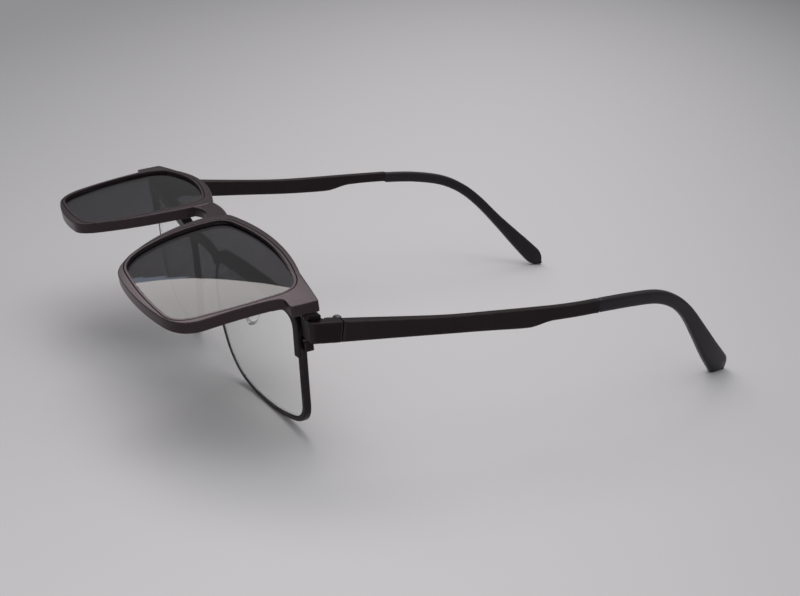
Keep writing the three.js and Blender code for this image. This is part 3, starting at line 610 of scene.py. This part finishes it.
# the brow strip covers the rim's front and caps its top, from the bridge to the step on the temple side
def browSkin(s):
    across, up, rounding, _ = rimSet["corners"][1]
    count = len(rimEdge)
    half, width = rimSet["depth"] / 2, rimSet["width"]
    seat = -half - s["gap"]
    face = -half - s["front"]
    legBack = seat + s["gap"] + s["softRound"]
    rings = []
    for k in range(int(s["runs"] * rimSet["steps"])):
        i = (browStart + k) % count
        beside = rimEdge[i].x > across - rounding
        share = smoothShare(rimEdge[i].y, up - rounding, up) if beside else 1
        cap = s["legCap"] + (s["cap"] - s["legCap"]) * share
        capBack = legBack + (half - legBack) * share
        section = roundedSection([(s["gap"], seat, 0), (-width, seat, 0), (-width, face, s["softRound"]),
                                  (cap, face, s["edgeRound"]), (cap, capBack, s["softRound"]),
                                  (s["gap"], capBack, 0)])
        along = (rimEdge[(i + 1) % count] - rimEdge[i - 1]).normalized()
        out = Vector((-along.y, along.x))
        rings.append([onFace(rimEdge[i] + out * point.x, point.y, 0) for point in section])
        if beside and rimEdge[i].y < s["stepHeight"]:
            break
    return loft(rings)


def bridgeSkin(s):
    start = offsetOutline(rimEdge, browSet["cap"])[browStart]
    rings = []
    for k in range(s["steps"] + 1):
        u = s["reach"] * (2 * k / s["steps"] - 1)
        v = start.y - s["height"] / 2 + s["arch"] * (1 - (u / s["reach"]) ** 2)
        rings.append([onFace(Vector((u, v + high * s["height"] / 2)), fore * s["depth"] / 2, 0)
                      for fore, high in squareRing(s["around"], s["squareness"])])
    return loft(rings)


def eyeLensSkin(s):
    face = offsetOutline(rimInside, -s["gap"])
    bite = offsetOutline(rimInside, s["bite"])
    return lensSkin(face, bite, -s["thickness"] / 2, s["thickness"], 0)


for label, side in sides:
    place = frontPlane @ mirror(side)
    addPiece("rim" + label, rimSkin(rimSet), place, "frame", "rim_" + label, blackMetal)
    addPiece("brow" + label, browSkin(browSet), place, "frame", "brow_" + label, blackMetal)
    addPiece("eyeLens" + label, eyeLensSkin(lensSet), place, "frame", "lens_" + label,
             clearLens)
addPiece("noseBridge", bridgeSkin(bridgeSet), frontPlane, "frame", "bridge", blackMetal)
print("front built")


# temples
barSet = dict(
    height=5.68, thickness=3, slim=2.1, taperFrom=6.2, taperTo=33, length=77.6, edgeRound=0.45, steps=90,
    start=0.12, bendStart=60, bendEnd=136, bend=14.5, dropFrom=35, dropTo=75, lipShrink=0.05, lipOut=0.06)
barTopLine = ((0, 0), (16, -0.38), (33.5, -0.45), (45.5, 0.09), (64, 1.56), (77.6, 2.66))
barLowLine = ((0, 0), (16, 0.16), (33.5, 0.27), (45.5, 0.48), (54.7, 0.75), (58, 1.27), (61.8, 2.42),
              (65, 2.91), (77.6, 3.95))
tipShape = dict(
    proud=0.15, thickness=2.9, steps=110, spanSteps=40, around=48, squareness=0.48, endRound=4.4,
    endClose=0.93, endRings=((0.93, 0.5), (0.78, 0.9), (0.5, 1.15)), thinnest=0.7, swellTo=0.98,
    outFrom=0.2, sagFrom=10, sagLength=45, easeShare=0.5, easeFrom=30, lateFrom=34, lateTo=62,
    lookAhead=0.3, lipShrink=0.16, lipLength=0.5)
tipLine = ((0.02, 3.15), (11.4, 3.65), (22.4, 3.35), (30.4, 1), (37.4, -3.6), (45.7, -11.9),
           (53.9, -20.2), (63.4, -28.7))
# each arm has been bent a little by hand. The bar: how far its rear edges drop and how much longer it is.
# The tip: its height where it starts, how far its line drops, sags and stretches, how far its end is
# lifted, moved out and pulled in, and how high its paddle is and from where it widens
armFit = dict(
    left=dict(top=1.4, low=0.9, along=1.2, height=4, down=0.9, sag=0, stretch=1.015, lift=2.0, out=2.3,
              pull=2.2, paddle=7.3, swellFrom=0.46),
    right=dict(top=0.3, low=-0.9, along=0, height=3.5, down=-0.1, sag=0.9, stretch=0.975, lift=2.6, out=0,
               pull=0, paddle=6.1, swellFrom=0.6))


def heightOn(points, y):
    return float(np.interp(y, [point.x for point in points], [point.y for point in points]))


def bentIn(y):
    s = barSet
    return s["bend"] * (max(y - s["bendStart"], 0) / (s["bendEnd"] - s["bendStart"])) ** 2


# a slab's section with rounded long edges
def slabSection(near, far, high, low, r):
    return roundedSection([(near, high, r), (far, high, r), (far, low, r), (near, low, r)])


def templeBarSkin(s, fit):
    topLine, lowLine = splinePoints(barTopLine), splinePoints(barLowLine)
    half = s["height"] / 2
    rings = []
    for k in range(s["steps"] + 1):
        y = s["start"] + (s["length"] + fit["along"] - s["start"]) * k / s["steps"]
        drop = smoothShare(y, s["dropFrom"], s["dropTo"])
        slimming = (s["slim"] - s["thickness"]) * smoothShare(y, s["taperFrom"], s["taperTo"])
        outside = layout["halfWidth"] - bentIn(y)
        high = heightOn(topLine, y) + half - fit["top"] * drop
        low = heightOn(lowLine, y) - half - fit["low"] * drop
        section = slabSection(outside, outside - (s["thickness"] + slimming), high, low, s["edgeRound"])
        rings.append([Vector((point.x, y, point.y)) for point in section])
    middle = sum(rings[0], Vector()) / len(rings[0])
    ahead = Vector((0, -s["lipOut"], 0))
    lip = [point.lerp(middle, s["lipShrink"]) + ahead for point in rings[0]]  # soft front edge
    return loft([lip, *rings])


def tipSkin(s, fit):
    stations = []
    for behind, z in tipLine:
        sagShare = min(max((behind - s["sagFrom"]) / s["sagLength"], 0), 1)
        late = smoothShare(behind, s["lateFrom"], s["lateTo"])
        ease = 1 - s["easeShare"] * smoothShare(behind, s["easeFrom"], s["lateTo"])
        down = fit["sag"] * math.sin(math.pi * sagShare) ** 2 + fit["down"] * ease - fit["lift"] * late
        far = barSet["length"] + fit["along"] + behind * fit["stretch"] - fit["pull"] * late
        stations.append((far, z - down))
    centre = splinePoints(stations, s["spanSteps"])
    reach = reachAlong(centre)
    total = reach[-1]
    rings = []
    for k in range(s["steps"] + 1):
        share = k / s["steps"]
        at = share * total
        look = s["lookAhead"]
        point, before, ahead = (spotAt(centre, reach, at + step) for step in (0, -look, look))
        along = (ahead - before).normalized()
        swell = smoothShare(share, fit["swellFrom"], s["swellTo"])
        close = math.sqrt(1 - s["endClose"] * (max(at - total + s["endRound"], 0) / s["endRound"]) ** 2)
        lip = 1 - s["lipShrink"] * (1 - smoothShare(at, 0, s["lipLength"]))
        height = (fit["height"] + (fit["paddle"] - fit["height"]) * swell) * close * lip
        thickness = (barSet["slim"] + 2 * s["proud"]) * (1 - share) + s["thickness"] * share
        middle = layout["halfWidth"] + s["proud"] - bentIn(point.x) - thickness / 2
        middle += fit["out"] * smoothShare(share, s["outFrom"], 1)
        thickness *= max(close, s["thinnest"]) * lip
        ring = []
        for out, up in squareRing(s["around"], s["squareness"]):
            rise = up * height / 2
            ring.append(Vector((middle + out * thickness / 2, point.x - along.y * rise,
                                point.y + along.x * rise)))
        rings.append(ring)
    ends = rings[-1]
    heart = sum(ends, Vector()) / len(ends)
    push = heart - sum(rings[-2], Vector()) / len(ends)
    for shrink, out in s["endRings"]:  # rounded end of the paddle
        rings.append([heart.lerp(point, shrink) + push * out for point in ends])
    return loft(rings)


for label, side in sides:
    place = sidePlane @ mirror(side)
    body = "temple_" + label
    bar, tip = templeBarSkin(barSet, armFit[label]), tipSkin(tipShape, armFit[label])
    addPiece("templeBar" + label, bar, place, body, "temple_bar_" + label, blackMetal)
    addPiece("templeTip" + label, tip, place, body, "temple_tip_" + label, tipRubber)
print("temples built")


# clip-on shade
clipShape = dict(
    outer=((3.14, 2.72, 5.8, 3.2), (62, 0.8, 8, 0), (59.85, 38.07, 8.5, 1.1), (17.94, 41.5, 6.5, 2.4)),
    inner=((8.4, 4.5, 5.2, 2.6), (59.6, 2.5, 7.1, 0.7), (57.42, 37.06, 6.1, 0.8), (15.25, 38.47, 8.3, 1.2)),
    steps=20, thickness=3.1, pinDown=6.09, middle=17.5, earClear=0.84, footMiddle=65.2, edgeRound=0.25,
    lipWidth=0.6, lineWidth=0.34, lineDepth=0.3, lineSpare=0.1, innerRound=0.1, innerSteps=2,
    innerSpare=0.05, lensSeat=0.85, lensThickness=0.9, gap=0.05, groove=0.55, bite=0.3, sharp=35)
earSet = dict(end=66.6, top=1.9, low=9.5, round=0.8, fillet=3, root=0.5, straight=10, steps=8)
clipBridgeSet = dict(
    top=2.95, low=8, reach=8.5, arch=1.15, waist=2.2, flare=2.4, edgeRound=0.25, sink=0.05, steps=32)
lugSet = dict(width=1.6, radius=0.7, sink=0.6, steps=12)
pinDown = clipShape["pinDown"]
clipCentre = pinDown - clipShape["middle"]
footDepth = faceDepth(clipShape["footMiddle"], 0, clipCentre)
clipFront = -clipShape["earClear"] - clipShape["thickness"] - footDepth
clipBack = clipFront + clipShape["thickness"]


# the shade's outlines are drawn downwards from above the pin
def shadeOutline(corners):
    dropped = [(u, pinDown - w, rounding, bow) for u, w, rounding, bow in corners]
    return outlinePoints(dropped, clipShape["steps"])


clipOuter = shadeOutline(clipShape["outer"])
clipOpen = shadeOutline(clipShape["inner"])


# the outer outline with the ear in place of its top temple corner, and the lens outline beside it
def withEar(outer, inner, s):
    steps, side = clipShape["steps"], clipShape["outer"][1][0]
    end, top, low, r = s["end"], s["top"], s["low"], s["round"]
    foot, root = low + s["fillet"], side - s["root"]
    ear = []
    for bend in (((end - r, top), (end, top), (end, top + r)), ((end, low - r), (end, low), (end - r, low)),
                 ((side + s["fillet"] / 2, low), (root, low), (root, foot))):
        start, peak, stop = (Vector(point) for point in bend)
        ear += curvePoints(start, peak, stop, s["steps"]) + [stop]
    ear = [Vector((point.x, pinDown - point.y)) for point in ear]
    ear = spread([outer[steps - 1], ear[0]], s["straight"]) + ear
    after = next(i for i in range(2 * steps, 3 * steps) if outer[i].y < pinDown - foot)
    beside = spread(inner[steps - 1:after + 1], len(ear))
    return outer[:steps] + ear + outer[after:], inner[:steps] + beside + inner[after:]


# the ring has a fine cut line beside its lens edge
def clipRingSkin(s):
    seat = clipFront + s["lensSeat"]
    seatBack = seat + s["lensThickness"] + 2 * s["gap"]
    lip, line, spare = s["lipWidth"], s["lineWidth"], s["lineSpare"]
    cutLine = [(1, lip + line + spare, clipFront), (1, lip + line, clipFront),
               (1, lip + line / 2, clipFront + s["lineDepth"]), (1, lip, clipFront),
               (1, lip - spare, clipFront)]
    groove = [(1, 0, seat), (1, s["groove"], seat), (1, s["groove"], seatBack), (1, 0, seatBack)]
    profile = ringProfile(clipFront, clipBack, s, cutLine, groove)
    return ringSkin(withEar(clipOuter, clipOpen, earSet), profile, clipCentre)


# the bridge of the shade is a slab, narrowest in the middle, that takes the curve of the face
def clipBridgeSkin(s):
    rings = []
    for k in range(s["steps"] + 1):
        u = s["reach"] * (2 * k / s["steps"] - 1)
        high = pinDown - s["top"] - s["arch"] * (u / s["reach"]) ** 2
        low = pinDown - s["low"] - s["flare"] * (u / (s["reach"] - s["waist"])) ** 2
        section = slabSection(clipFront + s["sink"], clipBack - s["sink"], high, low, s["edgeRound"])
        rings.append([onFace(Vector((u, point.y)), point.x, clipCentre) for point in section])
    return loft(rings)


# a round-ended lug that joins the ear to its pin
def lugSkin(s):
    root = clipBack + footDepth - s["sink"]
    outline = [(root, s["radius"]), (0, s["radius"])]
    for k in range(1, s["steps"]):
        angle = math.pi / 2 - math.pi * k / s["steps"]
        outline.append((s["radius"] * math.cos(angle), s["radius"] * math.sin(angle)))
    outline += [(0, -s["radius"]), (root, -s["radius"])]
    return loft([[Vector((clipShape["footMiddle"] + x, y, z)) for y, z in outline]
                 for x in (-s["width"] / 2, s["width"] / 2)])


def united(obj, others):
    for other in others:
        union = obj.modifiers.new("union", "BOOLEAN")
        union.operation = "UNION"
        union.solver = "MANIFOLD"
        union.object = other
    evaluated(obj)
    for other in others:
        bpy.data.objects.remove(other)


clipFrame = newObject("clipBridge", *clipBridgeSkin(clipBridgeSet), clipPlane)
clipParts = []
for label, side in sides:
    place = clipPlane @ mirror(side)
    clipParts.append(newObject("clipRing", *clipRingSkin(clipShape), place))
    clipParts.append(newObject("clipLug", *lugSkin(lugSet), place))
united(clipFrame, clipParts)
finishPiece(clipFrame, "clipFrame", "clip", ["clip_frame"], clipMetal, clipShape["sharp"])
shadeEdge = offsetOutline(clipOpen, clipShape["bite"])
shadeSkin = lensSkin(shadeEdge, shadeEdge, clipFront + clipShape["lensSeat"] + clipShape["gap"],
                     clipShape["lensThickness"], clipCentre)
for label, side in sides:
    addPiece("shadeLens" + label, shadeSkin, clipPlane @ mirror(side), "clip", "clip_lens_" + label,
             tintedLens)
print("shade built")


# small machined pieces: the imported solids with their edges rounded, the closing blocks filled
softSharp = 60
softSet = dict(
    endpiece=(0.00014, 5, "frame", "black_metal", blackMetal),
    closing_block=(0.0001, 14, "frame", "black_metal", blackMetal),
    front_hinge_leaf=(0.0001, 3, "frame", "black_metal", blackMetal),
    temple_hinge_leaf=(0.0001, 3, "temple", "black_metal", blackMetal),
    nose_pad=(0.00014, 8, "pad", "pad_silicone", padSilicone),
    clip_foot=(0.0001, 3, "clip_feet", "clip_metal", blackMetal))
for name, (voxel, rounds, body, slot, material) in softSet.items():
    for label, side in sides:
        node = name + "_" + label
        rider = body + "_" + label if body in ("temple", "pad") else body
        piece = fuse(nodeCopy(node, name == "closing_block"), voxel, rounds)
        finishPiece(piece, name.replace("_", "") + label, rider, [node], material, softSharp)
print("small pieces rounded")


# geometry node trees
def newTree(name, values):
    return newGroup(name, "GeometryNodeTree", {"Geometry": "Geometry", **values, "Material": "Material"},
                    ("Geometry",), "Geometry")


def closeTree(tree, end, geometry, material):
    real = addNode(tree, "GeometryNodeRealizeInstances", Geometry=geometry)
    paint = addNode(tree, "GeometryNodeSetMaterial", Geometry=real.outputs["Geometry"], Material=material)
    fill(tree, end, Geometry=paint.outputs["Geometry"])
    return tree


def growTree(obj, tree, **values):
    modifier = obj.modifiers.new("tree", "NODES")
    modifier.node_group = tree
    for item in tree.interface.items_tree:
        key = item.name.replace(" ", "_")
        if item.in_out == "INPUT" and key in values:
            modifier[item.identifier] = values[key]
    return evaluated(obj)


screwShape = dict(headTaper=0.86, headSides=32, slotReach=3.0, slotsInHead=3, shankSides=24)


# a slotted screw on every point, turned by the point's attribute; its head starts at the point
def screwTree(s):
    tree, get, end = newTree("slottedScrews", {
        "Head Radius": 0.0009, "Head Height": 0.0005, "Shank Radius": 0.0005, "Shank Length": 0.0053,
        "Slot Width": 0.0003})

    def times(label, factor):
        return addMath(tree, "MULTIPLY", get[label], factor)

    def raised(mesh, height):
        rise = addNode(tree, "ShaderNodeCombineXYZ", Z=height).outputs["Vector"]
        return addNode(tree, "GeometryNodeTransform", Geometry=mesh.outputs["Mesh"],
                       Translation=rise).outputs["Geometry"]

    head = addNode(tree, "GeometryNodeMeshCone", Radius_Bottom=get["Head Radius"], Depth=get["Head Height"],
                   Radius_Top=times("Head Radius", s["headTaper"]), Vertices=s["headSides"])
    cut = addNode(tree, "ShaderNodeCombineXYZ", X=get["Slot Width"], Z=get["Head Height"],
                  Y=times("Head Radius", s["slotReach"]))
    slot = addNode(tree, "GeometryNodeMeshCube", Size=cut.outputs["Vector"])
    carve = addNode(tree, "GeometryNodeMeshBoolean", ("operation", "DIFFERENCE"),
                    Mesh_1=head.outputs["Mesh"], Mesh_2=raised(slot, get["Head Height"]))
    shank = addNode(tree, "GeometryNodeMeshCylinder", Radius=get["Shank Radius"], Depth=get["Shank Length"],
                    Vertices=s["shankSides"])
    whole = addNode(tree, "GeometryNodeJoinGeometry", Geometry=raised(shank, times("Shank Length", -0.5)))
    tree.links.new(carve.outputs["Mesh"], whole.inputs["Geometry"])
    turn = addNode(tree, "GeometryNodeInputNamedAttribute", ("data_type", "FLOAT_VECTOR"), Name="turn")
    rotation = addNode(tree, "FunctionNodeEulerToRotation", Euler=turn.outputs["Attribute"])
    points = addNode(tree, "GeometryNodeInstanceOnPoints", Points=get["Geometry"],
                     Instance=whole.outputs["Geometry"], Rotation=rotation.outputs["Rotation"])
    return closeTree(tree, end, points.outputs["Instances"], get["Material"])


# a round wire along the edges of a path
def wireTree():
    tree, get, end = newTree("bentWire", {"Radius": 0.0005, "Sides": 14})
    path = addNode(tree, "GeometryNodeMeshToCurve", Mesh=get["Geometry"])
    ring = addNode(tree, "GeometryNodeCurvePrimitiveCircle", Resolution=get["Sides"], Radius=get["Radius"])
    wire = addNode(tree, "GeometryNodeCurveToMesh", Curve=path.outputs["Curve"], Fill_Caps=True,
                   Profile_Curve=ring.outputs["Curve"])
    return closeTree(tree, end, wire.outputs["Mesh"], get["Material"])


screws = screwTree(screwShape)
wires = wireTree()


def growScrews(name, places, s, material):
    mesh = bpy.data.meshes.new(name)
    mesh.from_pydata([place.translation for place in places], [], [])
    layer = mesh.attributes.new("turn", "FLOAT_VECTOR", "POINT")
    for item, place in zip(layer.data, places):
        item.vector = place.to_euler()
    return growTree(addObject(name, mesh), screws, Head_Radius=s["head"], Head_Height=s["height"],
                    Shank_Radius=s["radius"], Shank_Length=s["length"],
                    Slot_Width=s["head"] / screwShape["slotsInHead"], Material=material)


def growWire(name, points, s, material):
    mesh = bpy.data.meshes.new(name)
    mesh.from_pydata(points, [(i, i + 1) for i in range(len(points) - 1)], [])
    return growTree(addObject(name, mesh), wires, Radius=s["wire"], Sides=s["sides"], Material=material)


# where a piece stands and which way its axis runs, without the drawing scale
def stand(planeMatrix, spot, turn=Matrix.Identity(3)):
    turned = planeMatrix.to_3x3().normalized() @ turn
    return Matrix.Translation(planeMatrix @ Vector(spot)) @ turned.to_4x4()


# screws of the hinges and of the blocks that close the rims
hingeScrewSet = dict(across=64.6, top=2.35, length=0.00535, radius=0.0005, head=0.0009, height=0.0005)
closingScrewSet = dict(
    beside=1.4, behind=0.2, up=8.7, middle=7.2, length=0.0029, radius=0.0005, head=0.0009, height=0.0005)
rimReach = max(point.x for point in rimEdge)
blockDepth = faceDepth(rimReach, closingScrewSet["middle"], 0) + closingScrewSet["behind"]


def screwPair(name, node, s, planeMatrix, across, behind, up, material):
    places = [stand(planeMatrix, (side * across, behind, up)) for label, side in sides]
    nodes = [node + label for label, side in sides]
    finishPiece(growScrews(name, places, s, material), name, "frame", nodes, material)


screwPair("hingeScrews", "hinge_screw_", hingeScrewSet, sidePlane, hingeScrewSet["across"], 0,
          hingeScrewSet["top"], steel)
screwPair("closingScrews", "closing_screw_", closingScrewSet, frontPlane,
          rimReach + closingScrewSet["beside"], blockDepth, closingScrewSet["up"], darkSteel)

# nose pad arms: a wire from the rim that ends in a loop round the pad's screw
padArmSet = dict(
    place=(9.2, 11.8, -2.8), turn=(-6, -10, 28), rise=(0, 3.5, 0.6), knee=3.2, eye=0.75,
    steer=(0.35, 0, -1.2), bendSteps=12, loopSteps=24, loopShare=0.93, wire=0.00045, sides=14)
padScrewSet = dict(half=1.6, length=0.0016, radius=0.0004, head=0.0007, height=0.0004)
padTurn = Euler([math.radians(angle) for angle in padArmSet["turn"]]).to_matrix()
padPlace = Matrix.Translation(padArmSet["place"]) @ padTurn.to_4x4()


def padArmRoute(s):
    rimRoot = offsetOutline(rimEdge, -rimSet["width"] / 2)[len(rimEdge) - rimSet["steps"] * 3 // 2]
    root = onFace(rimRoot, rimSet["depth"] / 2, 0)
    rise = root + Vector(s["rise"])
    knee, meet, steer = (padPlace @ Vector(spot)
                         for spot in ((s["knee"], 0, 0), (s["eye"], 0, 0), s["steer"]))
    route = smoothRun([2 * root - rise, root, rise, knee, meet, steer], s["bendSteps"])
    for k in range(s["loopSteps"]):
        angle = -2 * math.pi * s["loopShare"] * k / (s["loopSteps"] - 1)
        route.append(padPlace @ Vector((s["eye"] * math.cos(angle), 0, s["eye"] * math.sin(angle))))
    return route


for label, side in sides:
    place = frontPlane @ mirror(side)
    arm = growWire("padArm", [place @ point for point in padArmRoute(padArmSet)], padArmSet, steel)
    finishPiece(arm, "padArm" + label, "frame", ["pad_arm_" + label], steel)
    spots = []
    for end in (1, -1):
        headTurn = padTurn @ Matrix.Rotation(-end * math.pi / 2, 3, "X")
        spot = padPlace @ Vector((0, end * padScrewSet["half"], 0))
        spots.append(mirror(side) @ stand(frontPlane, spot, headTurn) @ mirror(side))
    piece = growScrews("padScrew", spots, padScrewSet, steel)
    finishPiece(piece, "padScrew" + label, "pad_" + label, ["pad_screw_" + label], steel)
print("screws and wires grown")

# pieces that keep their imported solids
for name, material in (("endpiece_magnet", nickel), ("foot_magnet", nickel), ("clip_pin", darkSteel)):
    for label, side in sides:
        node = frame["nodes"][name + "_" + label]
        node.data.materials.clear()
        node.data.materials.append(material)


# floor and light: the floor's colour fades from its near colour towards its far one as a painted fall-off
# of light and shade, and keeps at least nearLeast of it
floorSet = dict(
    size=6.0, drop=0.00005, near=(0.824, 0.812, 0.824), far=(0.157, 0.16, 0.168),
    centre=(0.667, -0.459, 0), turn=53.9, across=0.614, along=4.21, nearLeast=0.1, ease=0.1,
    roughness=0.75, shine=0.2)
farBox = dict(
    start=(-1.666, -0.338), stop=(-0.796, 0.51), height=1.0, deep=0.6, brightness=3.1,
    color=(1.0, 0.95, 0.94))
stripSet = dict(
    depths=(0.05, 0.036, 0.018), begin=0.22, length=0.1, height=1.0, brightness=0.9,
    color=(0.62, 0.76, 1.0))
topBox = dict(
    start=(-0.9, -0.1), stop=(0.0, 0.8), height=1.2, deep=1.0, brightness=1.2, color=(1.0, 0.98, 0.97))
worldSet = dict(
    glow=(0.5, 0.502, 0.51), dim=(0.07, 0.07, 0.073), bright=(0.5, 0.5, 0.5), brightSide=(0.3, 0.2, 0.93),
    lift=0.25, gain=0.8)


def makeFloor(s):
    half = s["size"] / 2
    floor = newObject("floor", [(-half, -half, 0), (half, -half, 0), (half, half, 0), (-half, half, 0)],
                      [(0, 1, 2, 3)], Matrix.Translation((0, 0, -s["drop"])))
    material, tree, shader, coordinates = newMaterial("paperFloorPaintedFalloff")
    shift = addNode(tree, "ShaderNodeMapping", ("vector_type", "TEXTURE"), Vector=coordinates,
                    Location=Vector(s["centre"]), Rotation=Vector((0, 0, math.radians(s["turn"]))),
                    Scale=Vector((s["across"], s["along"], 1)))
    fall = addNode(tree, "ShaderNodeTexGradient", ("gradient_type", "QUADRATIC_SPHERE"),
                   Vector=shift.outputs["Vector"])
    # painted pool of light: pale near the glasses, painted shade further off
    paintedFalloff = addMath(tree, "SMOOTH_MAX", fall.outputs["Fac"], s["nearLeast"], s["ease"])
    fill(tree, shader, Base_Color=mixColor(tree, paintedFalloff, s["far"], s["near"]), Roughness=s["roughness"],
         Specular_IOR_Level=s["shine"])
    floor.data.materials.append(material)


# a level softbox overhead: start and stop are the ends of its far edge, from which it runs back
def overheadBox(name, s):
    start, stop, deep = Vector(s["start"]), Vector(s["stop"]), s["deep"]
    along = stop - start
    inwards = Vector((along.y, -along.x)).normalized()
    data = bpy.data.lights.new(name, "AREA")
    data.shape = "RECTANGLE"
    data.size, data.size_y = along.length, deep
    data.energy = s["brightness"] * math.pi * along.length * deep
    data.color = s["color"]
    lamp = addObject(name, data)
    lamp.location = (*((start + stop) / 2 + inwards * deep / 2), s["height"])
    lamp.rotation_euler = (0, 0, math.atan2(along.y, along.x))


# a cool strip that thins out beside the far softbox
def coolStrip(s, beside):
    start = Vector(beside["start"])
    along = (Vector(beside["stop"]) - start).normalized()
    outwards = Vector((-along.y, along.x))
    for k, deep in enumerate(s["depths"]):
        begin = start + along * (s["begin"] + s["length"] * k) + outwards * deep
        overheadBox("coolStrip", dict(s, start=begin, stop=begin + along * s["length"], deep=deep))


# a dim room where it is seen or reflected, brighter overhead, and an even glow for everything else
def makeWorld(s):
    world = bpy.data.worlds.new("studio")
    scene.world = world
    world.use_nodes = True
    tree = world.node_tree
    glow = fill(tree, tree.nodes["Background"], Color=s["glow"])
    facing = addNode(tree, "ShaderNodeVectorMath", ("operation", "DOT_PRODUCT"))
    feed(tree, facing.inputs[0], tree.nodes.new("ShaderNodeTexCoord").outputs["Generated"])
    feed(tree, facing.inputs[1], Vector(s["brightSide"]).normalized())
    raised = addMath(tree, "ADD", facing.outputs["Value"], s["lift"])
    share = addMath(tree, "MULTIPLY", raised, s["gain"], clamp=True)
    room = addNode(tree, "ShaderNodeBackground", Color=mixColor(tree, share, s["dim"], s["bright"]))
    path = tree.nodes.new("ShaderNodeLightPath")
    seen = addMath(tree, "MAXIMUM", path.outputs["Is Glossy Ray"], path.outputs["Is Camera Ray"])
    mixShaders(tree, seen, glow.outputs["Background"], room.outputs["Background"], "World Output")


makeFloor(floorSet)
overheadBox("farSoftbox", farBox)
coolStrip(stripSet, farBox)
overheadBox("topSoftbox", topBox)
makeWorld(worldSet)
scene.view_settings.view_transform = "Standard"
print("stage lit")
